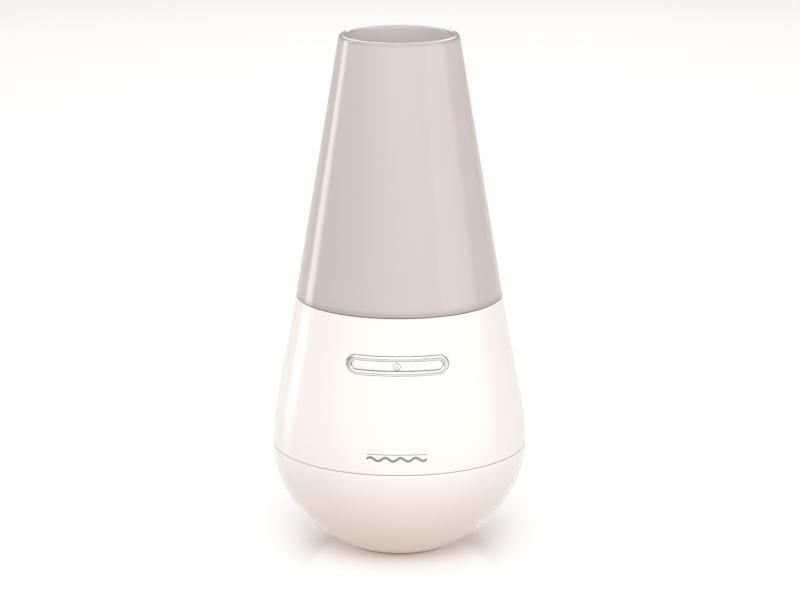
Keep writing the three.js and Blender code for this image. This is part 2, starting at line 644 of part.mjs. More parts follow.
// A coil between the flange's back and the board, its axis along the button's travel.
function buttonSpring(side) {
  const surfaceDrop = BUTTON_SURFACE.radius - Math.sqrt(BUTTON_SURFACE.radius ** 2 - (SPRING_X + 2) ** 2);
  const { lean } = BUTTON_SURFACE;
  const flangeDepth = FLANGE_BACK / Math.cos(lean) + SPRING_COIL_R * Math.tan(lean) + surfaceDrop;
  const near = flangeDepth + GAP + SPRING_WIRE_R;
  const far = BUTTON_BOARD_DEPTH - GAP - SPRING_WIRE_R;
  class Coil extends THREE.Curve {
    getPoint(t, target = new THREE.Vector3()) {
      const turn = t * SPRING_TURNS * 2 * Math.PI;
      const depth = far - t * (far - near);
      return target.set(SPRING_COIL_R * Math.cos(turn), SPRING_COIL_R * Math.sin(turn), -depth);
    }
  }
  const section = new THREE.Shape().absarc(0, 0, SPRING_WIRE_R, 0, 2 * Math.PI);
  const options = { extrudePath: new Coil(), steps: SPRING_TURNS * 8, curveSegments: 3, bevelEnabled: false };
  const coil = new THREE.ExtrudeGeometry(section, options);
  return atButton(coil.translate(side * SPRING_X, 0, 0));
}

// ---------------------------------------------------------------- leads
function lead(radius, places, steps = 14) {
  const path = new THREE.CatmullRomCurve3(places.map(([x, y, z]) => new THREE.Vector3(x, y, z)));
  const section = new THREE.Shape().absarc(0, 0, radius, 0, 2 * Math.PI);
  const options = { extrudePath: path, steps, curveSegments: 4, bevelEnabled: false };
  return new THREE.ExtrudeGeometry(section, options);
}

// ---------------------------------------------------------------- materials
function material(color, roughness, metalness = 0, opacity = 1) {
  return new THREE.MeshStandardMaterial({ color, roughness, metalness, opacity, transparent: opacity < 1 });
}

const GLOSS_WHITE = material(0xf6f4f2, 0.25);
const FROSTED = material(0xd8d0ca, 0.3, 0, 0.6);
const CLEAR_WHITE = material(0xeeeeec, 0.4, 0, 0.9);
const CHROME = material(0xd9d9d8, 0.12, 1);
const RUBBER = material(0x8d8783, 0.9);
const SILICONE = material(0xdad6cf, 0.7);
const STEEL = material(0xb4b6b8, 0.35, 1);
const BRASS = material(0xc9a860, 0.35, 1);
const COPPER = material(0xb87333, 0.4, 1);
const BOARD = material(0x2f6b45, 0.5);
const BLACK = material(0x1d1d1f, 0.5);
const NYLON = material(0xe6e2d8, 0.6);
const LAMP = material(0xfff6dc, 0.3);
const ALUMINIUM = material(0xc4c7ca, 0.4, 1);

// ---------------------------------------------------------------- assembly
const humidifier = new THREE.Group();

function add(name, geometry, finish, x = 0, y = 0, z = 0) {
  const mesh = new THREE.Mesh(geometry, finish);
  mesh.name = name;
  mesh.position.set(x, y, z);
  humidifier.add(mesh);
  return mesh;
}

// One mesh for each place in a list, numbered from 1.
function addEach(name, geometry, finish, places, z) {
  places.forEach(([x, y], i) => add(`${name}_${i + 1}`, geometry, finish, x, y, z));
}

add("mist_shade", mistShade(), FROSTED);
add("mist_cover", mistCover(), CLEAR_WHITE);
add("upper_housing", upperHousing(), GLOSS_WHITE);
add("lower_housing", lowerHousing(), GLOSS_WHITE);
add("base_foot", baseFoot(), RUBBER);
addEach("base_screw", screw(2.7, 1.4, 1.25, 10), STEEL, BASE_BOSSES, 3.6);

add("chassis", chassis(), BLACK);
addEach("housing_screw", screw(2.7, 1.6, 1.25, 10), STEEL, HOUSING_BOSSES, CHASSIS_Z - GAP);

add("fan_frame", fanFrame(), BLACK);
add("fan_rotor", fanRotor(), BLACK);
add("fan_shaft", fanShaft(), STEEL);
add("fan_bearing", fanBearing(), BRASS);
add("fan_stator", fanStator(), COPPER);
add("fan_duct", fanDuct(), NYLON);
FAN_SCREWS.forEach(([x, y], i) => {
  const fastener = add(`fan_screw_${i + 1}`, screw(2.6, 1.6, 1.25, 18), STEEL, x, y, DUCT_LOW_Z + 1.6 + GAP);
  fastener.rotation.x = Math.PI;
});

add("tank_basin", tankBasin(), CLEAR_WHITE);
add("air_tower", airTower(), CLEAR_WHITE);
add("basin_seal", basinSeal(), SILICONE);
add("transducer_disc", transducerDisc(), STEEL);
add("transducer_seal", transducerSeal(), SILICONE);
add("transducer_clamp", transducerClamp(), NYLON);
const CLAMP_SCREW_Z = SEAL_LOW_Z - CLAMP_THICKNESS - 2 * GAP;
addEach("transducer_screw", screw(2.2, 1.4, 1, 6), STEEL, CLAMP_BOSSES, CLAMP_SCREW_Z);
add("led_board", ledBoard(), BOARD);
addEach("led_board_screw", screw(2.1, 1.4, 1, 4.2), STEEL, LED_BOARD_POSTS, LED_BOARD_Z - GAP);
addEach("led", box(5, 5, 1.4), LAMP, LED_PLACES, LED_BOARD_Z + LED_BOARD_THICKNESS + GAP);

const BOARD_TOP = BOARD_Z + BOARD_THICKNESS + GAP;
add("main_board", mainBoard(), BOARD);
addEach("board_screw", screw(2.4, 1.4, 1.1, 9), STEEL, BOARD_POSTS, BOARD_Z - GAP);
add("heat_sink", heatSink(), ALUMINIUM, 24, -16, BOARD_TOP);
add("driver_transistor", box(10, 4, 12), BLACK, 24, -19.4, BOARD_TOP);
add("drum_coil", drumCoil(), COPPER, -24, -14, BOARD_TOP);
add("capacitor", capacitor(), BLACK, -24, 14, BOARD_TOP);
add("dc_socket", leadSocket(), NYLON, 0, 27, BOARD_TOP);
add("transducer_socket", leadSocket(), NYLON, 0, -2, BOARD_TOP);

add("dc_jack", dcJack(), BLACK);
add("dc_jack_pin", dcJackPin(), STEEL);
add("dc_jack_nut", dcJackNut(), STEEL);

add("button_bezel", buttonBezel(), CHROME);
add("power_button", powerButton(), GLOSS_WHITE);
add("button_board", buttonBoard(), BOARD);
add("switch_body", switchBody(), BLACK);
add("switch_plunger", switchPlunger(), NYLON);
add("button_spring_left", buttonSpring(-1), STEEL);
add("button_spring_right", buttonSpring(1), STEEL);

const SOCKET_FLOOR_Z = BOARD_TOP + 1.6 + GAP;
const DC_LEAD = [[0, 40.6, 37], [0, 37, 38.2], [0, 31, 43.5], [0, 27.2, 42.5], [0, 27, SOCKET_FLOOR_Z]];
const TRANSDUCER_LEAD = [[0, 0, 72.7], [0, -1, 66], [0, -2, 58], [0, -2, 50], [0, -2, SOCKET_FLOOR_Z]];
const BUTTON_LEAD = [[0, -38.8, 89], [0, -38.8, 84], [0, -41.5, 78], [0, -46.5, 68], [0, -49, 58],
  [2, -48.6, 49], [10, -41, 44.5], [14, -29, 44], [14, -26, BOARD_TOP]];
const FAN_LEAD = [[21.4, FAN_LEAD_Y, 60], [23.4, FAN_LEAD_Y, 58.5], [24, FAN_LEAD_Y, 54],
  [24, FAN_LEAD_Y - 1, 44], [24, FAN_LEAD_Y - 2, BOARD_TOP]];
add("dc_lead", lead(1.1, DC_LEAD), BLACK);
add("transducer_lead", lead(1, TRANSDUCER_LEAD), BLACK);
add("button_lead", lead(1, BUTTON_LEAD, 20), BLACK);
add("fan_lead", lead(0.9, FAN_LEAD), BLACK);

export default humidifier;
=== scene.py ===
"""The looks of the cool mist humidifier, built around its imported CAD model. Metres, +Z up, button at -Y."""

import json
from math import atan2, cos, hypot, pi, radians, sin, sqrt, tan

import bmesh
import bpy
from mathutils import Matrix, Vector


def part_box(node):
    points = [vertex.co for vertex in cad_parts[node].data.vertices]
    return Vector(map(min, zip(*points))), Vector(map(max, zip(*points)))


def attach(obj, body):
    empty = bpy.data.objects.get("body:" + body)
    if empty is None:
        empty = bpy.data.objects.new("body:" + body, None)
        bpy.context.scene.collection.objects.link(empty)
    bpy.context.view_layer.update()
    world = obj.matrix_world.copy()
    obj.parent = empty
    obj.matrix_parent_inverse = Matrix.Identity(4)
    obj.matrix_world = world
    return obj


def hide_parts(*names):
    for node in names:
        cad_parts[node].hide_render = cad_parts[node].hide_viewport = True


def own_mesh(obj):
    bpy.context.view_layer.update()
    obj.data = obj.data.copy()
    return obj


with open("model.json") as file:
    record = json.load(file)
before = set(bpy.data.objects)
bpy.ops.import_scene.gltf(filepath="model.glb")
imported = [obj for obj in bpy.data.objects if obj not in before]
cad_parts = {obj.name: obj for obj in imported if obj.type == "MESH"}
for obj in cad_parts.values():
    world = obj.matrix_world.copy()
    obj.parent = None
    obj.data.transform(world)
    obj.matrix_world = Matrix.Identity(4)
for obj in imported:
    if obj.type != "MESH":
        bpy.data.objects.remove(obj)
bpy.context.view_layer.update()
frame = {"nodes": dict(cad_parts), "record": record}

MM = 0.001
TAU = 2 * pi

# ---- driving sizes, from the frame where it has them
GAP = 0.3 * MM
MAX_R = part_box("upper_housing")[1].x
LOWER_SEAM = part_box("upper_housing")[0].z - GAP / 2
UPPER_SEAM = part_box("upper_housing")[1].z
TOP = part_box("mist_shade")[1].z
UPPER_R = 46.9 * MM
MOUTH_R = 26.9 * MM
WALL = 2.4 * MM
SHADE_WALL = 3.3 * MM
SHADE_SLOPE = (UPPER_R - MOUTH_R) / (TOP - UPPER_SEAM)
BOWL_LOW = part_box("lower_housing")[0].z
BOWL_DEPTH = 51.6 * MM
BOWL_POWER = 1.83
BOWL_ROOT = 2.18
ROUND = 180  # steps round a shell

# ---- camera
PICTURE_WIDTH = 800
LENS_PIXELS = 3125.67
SENSOR = 36
CAMERA_DISTANCE = 1.37605
CAMERA_HEIGHT = 0.45955
CAMERA_PITCH = 0.246
CAMERA_TURN = radians(1.1)
CAMERA_SHIFT = 0.0009


def new_object(name, data):
    thing = bpy.data.objects.new(name, data)
    bpy.context.scene.collection.objects.link(thing)
    return thing


def add_camera():
    data = bpy.data.cameras.new("camera")
    data.sensor_width = SENSOR
    data.lens = LENS_PIXELS / PICTURE_WIDTH * SENSOR
    data.shift_x = CAMERA_SHIFT
    camera = new_object("camera", data)
    camera.location = (
        CAMERA_DISTANCE * sin(CAMERA_TURN),
        -CAMERA_DISTANCE * cos(CAMERA_TURN),
        CAMERA_HEIGHT,
    )
    camera.rotation_euler = (pi / 2 - CAMERA_PITCH, 0, CAMERA_TURN)
    bpy.context.scene.camera = camera


add_camera()


# ---- outlines
def cubic(t, p):
    """A point of a cubic Bezier curve with four control points."""
    u = 1 - t
    weights = (u**3, 3 * t * u * u, 3 * t * t * u, t**3)
    return tuple(sum(w * q[axis] for w, q in zip(weights, p)) for axis in (0, 1))


BODY_CONTROLS = (
    (MAX_R, LOWER_SEAM),
    (MAX_R, LOWER_SEAM + 16 * MM),
    (UPPER_R + 34 * MM * SHADE_SLOPE, UPPER_SEAM - 34 * MM),
    (UPPER_R, UPPER_SEAM),
)


def body_radius(z):
    """The upper housing's outer radius at a height."""
    low, high = 0.0, 1.0
    for _ in range(32):
        middle = (low + high) / 2
        if cubic(middle, BODY_CONTROLS)[1] < z:
            low = middle
        else:
            high = middle
    return cubic(low, BODY_CONTROLS)[0]


def bowl_radius(z):
    """The lower housing's outer radius at a height."""
    share = (LOWER_SEAM - z) / BOWL_DEPTH
    return MAX_R * (1 - max(share, 0) ** BOWL_POWER) ** (1 / BOWL_ROOT)


def shade_radius(z):
    return MOUTH_R + (TOP - z) * SHADE_SLOPE


def side(radius, low, high, count, inset=0, crowd=1.0):
    """Points up a side whose radius is a function of height, moved inwards along its normal by an inset."""
    points = []
    for i in range(count + 1):
        z = low + (high - low) * (i / count) ** crowd
        slope = (radius(z + 0.02 * MM) - radius(z)) / (0.02 * MM)
        step = inset / hypot(1, slope)
        points.append((radius(z) - step, z + slope * step))
    return points


def rounded(points, radii, steps=5):
    """A closed outline with its corners rounded. radii maps a point's number to its corner radius."""
    result = []
    for i, point in enumerate(points):
        radius = radii.get(i, 0)
        if radius <= 0:
            result.append(point)
            continue
        p = Vector(point)
        before = Vector(points[i - 1]) - p
        after = Vector(points[(i + 1) % len(points)]) - p
        half = before.angle(after) / 2
        reach = min(radius / tan(half), 0.49 * before.length, 0.49 * after.length)
        start = p + before.normalized() * reach
        end = p + after.normalized() * reach
        for k in range(steps + 1):
            t = k / steps
            result.append(tuple(start * (1 - t) ** 2 + p * 2 * t * (1 - t) + end * t * t))
    return result


# ---- meshes
def new_piece(name, bm):
    """An object from a bmesh, with doubles merged, faces out and smooth shading broken at sharp edges."""
    bmesh.ops.remove_doubles(bm, verts=bm.verts, dist=1e-7)
    bmesh.ops.dissolve_degenerate(bm, edges=bm.edges, dist=1e-7)
    bmesh.ops.recalc_face_normals(bm, faces=bm.faces)
    mesh = bpy.data.meshes.new(name)
    bm.to_mesh(mesh)
    bm.free()
    piece = new_object(name, mesh)
    shade_by_angle(piece)
    return piece


def shade_by_angle(piece, degrees=32):
    bm = bmesh.new()
    bm.from_mesh(piece.data)
    limit = radians(degrees)
    for face in bm.faces:
        face.smooth = True
    for edge in bm.edges:
        edge.smooth = len(edge.link_faces) == 2 and edge.calc_face_angle(0) < limit
    bm.to_mesh(piece.data)
    bm.free()


def face(bm, vertices, flip=False):
    """A face from vertices of which some may be the same one, unless that leaves fewer than three."""
    corners = list(dict.fromkeys(vertices))
    if len(corners) > 2:
        bm.faces.new(corners[::-1] if flip else corners)


def grid(bm, rows, wrap_rows=True):
    """Quads between closed rows of vertices that all have the same length."""
    count, width = len(rows), len(rows[0])
    for i in range(count if wrap_rows else count - 1):
        upper, lower = rows[i], rows[(i + 1) % count]
        for j in range(width):
            k = (j + 1) % width
            face(bm, (upper[j], upper[k], lower[k], lower[j]))


def lathe(name, profile, steps=ROUND, centre=(0, 0)):
    """A turned piece about a vertical axis: solid if its profile starts on the axis, and a ring if not."""
    bm = bmesh.new()
    turns = [TAU * j / steps for j in range(steps)]
    rows = []
    for r, z in profile:
        if r < 1e-7:
            rows.append([bm.verts.new((*centre, z))] * steps)
        else:
            rows.append([
                bm.verts.new((centre[0] + r * cos(a), centre[1] + r * sin(a), z)) for a in turns
            ])
    grid(bm, rows, wrap_rows=profile[0][0] > 0)
    return new_piece(name, bm)


def pill(width, height, straight=34, arc=14):
    """A stadium outline, anticlockwise from its leftmost point, so that point i mirrors point -i."""
    r = height / 2
    half = width / 2 - r
    points = []
    for k in range(arc // 2):
        a = pi + (pi / 2) * k / (arc // 2)
        points.append((-half + r * cos(a), r * sin(a)))
    for k in range(straight):
        points.append((-half + 2 * half * k / straight, -r))
    for k in range(arc // 2):
        a = -pi / 2 + (pi / 2) * k / (arc // 2)
        points.append((half + r * cos(a), r * sin(a)))
    mirrored = [(x, -y) for x, y in reversed(points[1:])]
    return points + [(half + r, 0)] + mirrored


def circle(radius, steps=40):
    """A round outline that starts at its leftmost point, as pill does."""
    turns = [TAU * k / steps for k in range(steps)]
    return [(-radius * cos(a), -radius * sin(a)) for a in turns]


def cap(bm, ring, flip=False):
    """Closes a ring whose point i mirrors point -i with quads straight across it."""
    for i in range(len(ring) // 2):
        face(bm, (ring[i], ring[i + 1], ring[-i - 1], ring[-i] if i else ring[0]), flip)


def loft(name, layers, place, ends=True):
    """A piece through layers of (outline, height), each point put in space by place(x, y, height)."""
    bm = bmesh.new()
    rows = [[bm.verts.new(place(x, y, h)) for x, y in outline] for outline, h in layers]
    grid(bm, rows, wrap_rows=not ends)
    if ends:
        cap(bm, rows[0], flip=True)
        cap(bm, rows[-1])
    return new_piece(name, bm)


def combine(piece, cutter, operation="DIFFERENCE"):
    """Cuts a piece by a cutter, or joins the cutter to it, and deletes the cutter."""
    modifier = piece.modifiers.new("cut", "BOOLEAN")
    modifier.operation = operation
    modifier.solver = "EXACT"
    modifier.object = cutter
    bpy.context.view_layer.update()
    evaluated = piece.evaluated_get(bpy.context.evaluated_depsgraph_get())
    result = bpy.data.meshes.new_from_object(evaluated)
    piece.modifiers.clear()
    old = piece.data
    piece.data = result
    piece.data.name = piece.name
    bpy.data.meshes.remove(old)
    bpy.data.objects.remove(cutter)
    bm = bmesh.new()
    bm.from_mesh(result)
    bmesh.ops.remove_doubles(bm, verts=bm.verts, dist=2e-6)
    bmesh.ops.dissolve_degenerate(bm, edges=bm.edges, dist=1e-6)
    bm.to_mesh(result)
    bm.free()
    shade_by_angle(piece)
    return piece


def join(piece, other):
    return combine(piece, other, "UNION")


def band(inner, outer, low, high):
    """A rectangular profile."""
    return [(inner, low), (outer, low), (outer, high), (inner, high)]


# ---- meshes in millimetres
def in_mm(radii):
    return {i: radius * MM for i, radius in radii.items()}


def smooth(places, steps=8):
    """Points along a smooth curve through places given in millimetres."""
    knots = [Vector(place) * MM for place in places]
    knots = [knots[0], *knots, knots[-1]]
    points = []
    for a, b, c, d in zip(knots, knots[1:], knots[2:], knots[3:]):
        for k in range(steps):
            t = k / steps
            points.append(
                b + (c - a) * (t / 2) + (2 * a - 5 * b + 4 * c - d) * (t * t / 2)
                + (3 * b - a - 3 * c + d) * (t**3 / 2)
            )
    return points + [knots[-1]]


def frames(path):
    """For each point of a path, two directions square to it that turn as little as they can."""
    side = Vector((1, 0, 0))
    result = []
    for i in range(len(path)):
        ahead = (path[min(i + 1, len(path) - 1)] - path[max(i - 1, 0)]).normalized()
        side = (side - ahead * side.dot(ahead)).normalized()
        result.append((side, ahead.cross(side)))
    return result


def tube(name, path, radius, steps=10):
    bm = bmesh.new()
    rows = []
    for point, (side, up) in zip(path, frames(path)):
        turns = [TAU * k / steps for k in range(steps)]
        rows.append([bm.verts.new(point + (side * cos(a) + up * sin(a)) * radius) for a in turns])
    grid(bm, rows, wrap_rows=False)
    bm.faces.new(rows[0])
    bm.faces.new(rows[-1][::-1])
    return new_piece(name, bm)


def slab(width, depth, corner, arc=4):
    """A rounded rectangle's outline."""
    half, deep = width / 2 - corner, depth / 2 - corner
    points = []
    for x, y, start in ((-half, -deep, 2), (half, -deep, 3), (half, deep, 0), (-half, deep, 1)):
        turns = [pi / 2 * (start + k / arc) for k in range(arc + 1)]
        points += [(x + corner * cos(a), y + corner * sin(a)) for a in turns]
    return points


def prism(name, layers, place):
    """A straight piece through layers of (outline, height) with flat ends, all in millimetres."""
    bm = bmesh.new()
    rows = [[bm.verts.new(place(x * MM, y * MM, h * MM)) for x, y in outline] for outline, h in layers]
    grid(bm, rows, wrap_rows=False)
    bm.faces.new(rows[0][::-1])
    bm.faces.new(rows[-1])
    return new_piece(name, bm)


def upright(x=0, y=0, turn=0.0):
    """A place function for pieces that stand on a level floor, at x and y in millimetres."""
    def place(along, across, height):
        c, s = cos(turn), sin(turn)
        return Vector((x * MM + along * c - across * s, y * MM + along * s + across * c, height))

    return place


def block(name, size, low, place, corner=0.3, bevel=0.15):
    """A box with rounded corners and bevelled ends, in millimetres."""
    width, depth, height = size
    layers = []
    for inset, h in ((bevel, 0), (0, bevel), (0, height - bevel), (bevel, height)):
        layers.append((slab(width - 2 * inset, depth - 2 * inset, max(corner - inset / 2, 0.05)), low + h))
    return prism(name, layers, place)


def pegs(places, steps=32, place=upright()):
    """Round pegs in one mesh, to cut with or to join: radius, low, high, x and y in millimetres."""
    bm = bmesh.new()
    turns = [TAU * k / steps for k in range(steps)]
    for radius, low, high, x, y in places:
        rim = [((x + radius * cos(a)) * MM, (y + radius * sin(a)) * MM) for a in turns]
        rows = [[bm.verts.new(place(*point, h * MM)) for point in rim] for h in (low, high)]
        grid(bm, rows, wrap_rows=False)
        bm.faces.new(rows[0][::-1])
        bm.faces.new(rows[1])
    return new_piece("pegs", bm)


def turned(name, points, corners=None, centre=(0, 0), steps=64, curve=5):
    """A lathed piece from a profile in millimetres, its corners rounded in so many steps."""
    profile = [(r * MM, z * MM) for r, z in points]
    return lathe(name, rounded(profile, in_mm(corners or {}), curve), steps, (centre[0] * MM, centre[1] * MM))


def each(places, radius, low, high):
    """The same peg at each place."""
    return [(radius, low, high, x, y) for x, y in places]


def ring_places(radius, angles):
    """Places round the middle, in millimetres, at angles in degrees."""
    return [(radius * cos(radians(a)), radius * sin(radians(a))) for a in angles]


# ---- places inside, in millimetres
BASE_BOSSES = ring_places(14, (270, 30, 150))
HOUSING_BOSSES = ring_places(50.5, (90, 210, 330))
BOARD_POSTS = ring_places(34, (270, 0, 180))
CLAMP_BOSSES = ring_places(17.5, (270, 5, 175))
LED_POSTS = ring_places(27.5, (0, 180))
FAN_Y = 24
FAN_MIDDLE = (0, FAN_Y)
FAN_SCREWS = ((-16, FAN_Y - 16), (16, FAN_Y + 16))
STAKES = ((-10, -7.2), (10, -7.2))  # in the button's own frame
BOSS_LOW = 54.3
RIB_REACH = 1.0416  # how far out a rib's middle is, as a share of its boss's
SCREW_HOLE_R = 1.6
SMALL_HOLE_R = 1.3
BOARD_HOLE_R = 1.4


# ---- places on the housing
BUTTON_Z = 96.5 * MM
BUTTON_R = body_radius(BUTTON_Z)


def at_button(x, y, height):
    """A point over the housing round the button: x across, y up and height out along the press axis."""
    z = BUTTON_Z + y
    return Vector((x, -sqrt(body_radius(z) ** 2 - x * x) - height, z))


def behind_button(x, y, height):
    """As at_button, but in the flat frame of the button's board, from the housing's surface at its middle."""
    return Vector((x, -BUTTON_R - height, BUTTON_Z + y))


def round_side(radius, azimuth):
    """A place function on a turned shell's side at an azimuth: x across, y its height, height outwards."""
    outward = Vector((cos(azimuth), sin(azimuth), 0))
    across = Vector((-sin(azimuth), cos(azimuth), 0))

    def place(x, y, height):
        depth = sqrt(max(radius(y) ** 2 - x * x, 0))
        return outward * (depth + height) + across * x + Vector((0, 0, y))

    return place


# ---- materials
def add(tree, kind):
    return tree.nodes.new("ShaderNode" + kind)


def link(tree, source, target):
    tree.links.new(source, target)


def values(node, **inputs):
    """Sets a node's sockets: Base_Color=... stands for the socket Base Color."""
    for name, value in inputs.items():
        node.inputs[name.replace("_", " ")].default_value = value


def new_material(name, colour, roughness, metallic=0.0):
    """A principled material, its tree and its shader."""
    material = bpy.data.materials.new(name)
    material.use_nodes = True
    tree = material.node_tree
    shader = tree.nodes["Principled BSDF"]
    values(shader, Base_Color=(*colour, 1), Roughness=roughness, Metallic=metallic)
    return material, tree, shader


def noise(tree, scale, detail=3.0, roughness=0.5, stretch=(1, 1, 1)):
    """Noise in object coordinates; a scale of 1000 gives features about a millimetre across."""
    place = add(tree, "TexCoord")
    mapping = add(tree, "Mapping")
    values(mapping, Scale=stretch)
    texture = add(tree, "TexNoise")
    values(texture, Scale=scale, Detail=detail, Roughness=roughness)
    link(tree, place.outputs["Object"], mapping.inputs["Vector"])
    link(tree, mapping.outputs["Vector"], texture.inputs["Vector"])
    return texture.outputs["Fac"]


def spread(tree, value, low, high, start=0.3, end=0.7):
    """Maps a value between start and end to numbers between low and high."""
    ranged = add(tree, "MapRange")
    values(ranged, From_Min=start, From_Max=end, To_Min=low, To_Max=high)
    link(tree, value, ranged.inputs["Value"])
    return ranged.outputs["Result"]


def tint(tree, value, first, second):
    """A colour between two, by a value from 0 to 1."""
    mix = add(tree, "Mix")
    mix.data_type = "RGBA"
    values(mix, A=(*first, 1), B=(*second, 1))
    link(tree, value, mix.inputs["Factor"])
    return mix.outputs["Result"]


def bump(tree, shader, value, height, strength=1.0):
    """Bump of that many metres of height on the shader."""
    node = add(tree, "Bump")
    values(node, Distance=height, Strength=strength)
    link(tree, value, node.inputs["Height"])
    link(tree, node.outputs["Normal"], shader.inputs["Normal"])


def mottle(tree, shader, value, first, second):
    """A base colour that wanders between two."""
    link(tree, tint(tree, spread(tree, value, 0, 1), first, second), shader.inputs["Base Color"])


def times(tree, colour, factor):
    """A colour, given or linked, times a linked number."""
    node = add(tree, "VectorMath")
    node.operation = "SCALE"
    if isinstance(colour, tuple):
        values(node, Vector=colour)
    else:
        link(tree, colour, node.inputs["Vector"])
    link(tree, factor, node.inputs["Scale"])
    return node.outputs["Vector"]


def plus(tree, first, second):
    node = add(tree, "VectorMath")
    link(tree, first, node.inputs[0])
    link(tree, second, node.inputs[1])
    return node.outputs["Vector"]


def scaled(colour, factor):
    return tuple(min(channel * factor, 1) for channel in colour)


def moulded(name, colour, roughness, coat=0.0, grain=0.004 * MM, grain_scale=900, vary=0.03):
    """Moulded plastic: faint flow mottling, a fine grain and roughness that wanders a little."""
    material, tree, shader = new_material(name, colour, roughness)
    mottle(tree, shader, noise(tree, 28, 4.0), scaled(colour, 1 - vary), colour)
    wander = noise(tree, 90, 3.0)
    link(tree, spread(tree, wander, roughness * 0.85, roughness * 1.2), shader.inputs["Roughness"])
    bump(tree, shader, noise(tree, grain_scale, 2.0), grain)
    values(shader, Coat_Weight=coat, Coat_Roughness=0.08)
    return material


def frosted_plastic():
    """The shade: satin translucent plastic, a little cloudy, with painted shade darkening its colour at its
    lower edge and at its rim.
    """
    colour = (0.685, 0.64, 0.622)
    material, tree, shader = new_material("frosted_shade", colour, 0.17)
    flow = noise(tree, 16, 4.0, 0.55, (1, 1, 0.25))
    cloudy = tint(tree, spread(tree, flow, 0, 1), scaled(colour, 0.975), scaled(colour, 1.02))
    place = add(tree, "TexCoord")
    parts = add(tree, "SeparateXYZ")
    link(tree, place.outputs["Object"], parts.inputs["Vector"])
    # painted shade: the colour darkens over the lowest 3.2 mm above the seam
    edge = spread(tree, parts.outputs["Z"], 0.72, 1, UPPER_SEAM, UPPER_SEAM + 3.2 * MM)
    # painted shade: the colour darkens round the lip at the mouth
    rim = spread(tree, parts.outputs["Z"], 1, 0.74, TOP - 1.9 * MM, TOP - 0.8 * MM)
    link(tree, times(tree, times(tree, cloudy, edge), rim), shader.inputs["Base Color"])
    fine = noise(tree, 2600, 2.0, 0.6)
    link(tree, spread(tree, fine, 0.13, 0.16), shader.inputs["Roughness"])
    bump(tree, shader, fine, 0.004 * MM, 0.4)
    values(shader, Transmission_Weight=0.3, IOR=1.5)
    return material


def plated(name, colour, roughness, scale=350):
    """Bright plated or machined metal with faint waviness and micro scratches."""
    material, tree, shader = new_material(name, colour, roughness, 1.0)
    mottle(tree, shader, noise(tree, 120, 3.0), scaled(colour, 0.94), colour)
    streak = noise(tree, scale, 4.0, 0.6, (0.15, 1, 1))
    link(tree, spread(tree, streak, roughness * 0.75, roughness * 1.4), shader.inputs["Roughness"])
    bump(tree, shader, streak, 0.003 * MM, 0.4)
    return material


def rubber(name, colour, roughness=0.78):
    material, tree, shader = new_material(name, colour, roughness)
    mottle(tree, shader, noise(tree, 60, 4.0), scaled(colour, 0.88), scaled(colour, 1.08))
    bump(tree, shader, noise(tree, 1500, 3.0), 0.03 * MM, 0.6)
    return material


def circuit_board():
    """Green solder mask with a pattern of copper tracks under it and small pads."""
    material, tree, shader = new_material("circuit_board", (0.02, 0.16, 0.07), 0.35)
    place = add(tree, "TexCoord")
    bricks = add(tree, "TexBrick")
    values(bricks, Color1=(0.012, 0.12, 0.05, 1), Color2=(0.018, 0.15, 0.062, 1), Scale=110)
    values(bricks, Mortar=(0.035, 0.23, 0.10, 1), Mortar_Size=0.03, Brick_Width=0.9, Row_Height=0.22)
    pads = add(tree, "TexVoronoi")
    values(pads, Scale=260)
    link(tree, place.outputs["Object"], bricks.inputs["Vector"])
    link(tree, place.outputs["Object"], pads.inputs["Vector"])
    dots = spread(tree, pads.outputs["Distance"], 1, 0, 0.12, 0.16)
    mix = add(tree, "Mix")
    mix.data_type = "RGBA"
    values(mix, B=(0.62, 0.6, 0.56, 1))
    link(tree, dots, mix.inputs["Factor"])
    link(tree, bricks.outputs["Color"], mix.inputs["A"])
    link(tree, mix.outputs["Result"], shader.inputs["Base Color"])
    bump(tree, shader, bricks.outputs["Fac"], 0.03 * MM, 0.4)
    return material


WHITE = (0.794, 0.782, 0.768)
FINISHES = {
    "gloss_white": moulded("gloss_white", WHITE, 0.22, 0.12, grain=0.002 * MM, grain_scale=260, vary=0.012),
    "frosted_shade": frosted_plastic(),
    "clear_white": moulded("clear_white", (0.80, 0.79, 0.765), 0.3, grain=0.004 * MM),
    "chrome": plated("chrome", (0.60, 0.595, 0.585), 0.24),
    "foot_rubber": rubber("foot_rubber", (0.10, 0.095, 0.09)),
    "silicone": rubber("silicone", (0.62, 0.59, 0.55), 0.55),
    "steel": plated("steel", (0.56, 0.565, 0.57), 0.3),
    "brass": plated("brass", (0.66, 0.47, 0.2), 0.32),
    "copper": plated("copper", (0.6, 0.26, 0.12), 0.38),
    "circuit_board": circuit_board(),
    "black_plastic": moulded("black_plastic", (0.018, 0.018, 0.02), 0.42, grain=0.02 * MM, vary=0.2),
    "nylon": moulded("nylon", (0.72, 0.69, 0.6), 0.5, grain=0.01 * MM, vary=0.06),
    "lamp": moulded("lamp", (0.86, 0.82, 0.6), 0.2, vary=0.04),
    "aluminium": plated("aluminium", (0.62, 0.63, 0.64), 0.36),
}
PRINT = moulded("printed_grey", (0.235, 0.215, 0.195), 0.5, grain=0.002 * MM, vary=0.08)
PALE_PRINT = moulded("printed_pale_grey", (0.27, 0.26, 0.25), 0.5, grain=0.002 * MM, vary=0.08)

for entry in frame["record"]["subparts"]:
    node = frame["nodes"][entry["node"]]
    node.data.materials.clear()
    node.data.materials.append(FINISHES[entry["material_slot"]])


def dress(piece, finish, replaced=(), body="base", material=None):
    """Gives a piece the material of its finish and its body, and hides the CAD nodes that it stands for."""
    piece.data.materials.clear()
    piece.data.materials.append(material or FINISHES[finish])
    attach(piece, body)
    if replaced:
        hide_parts(*replaced)
    return piece


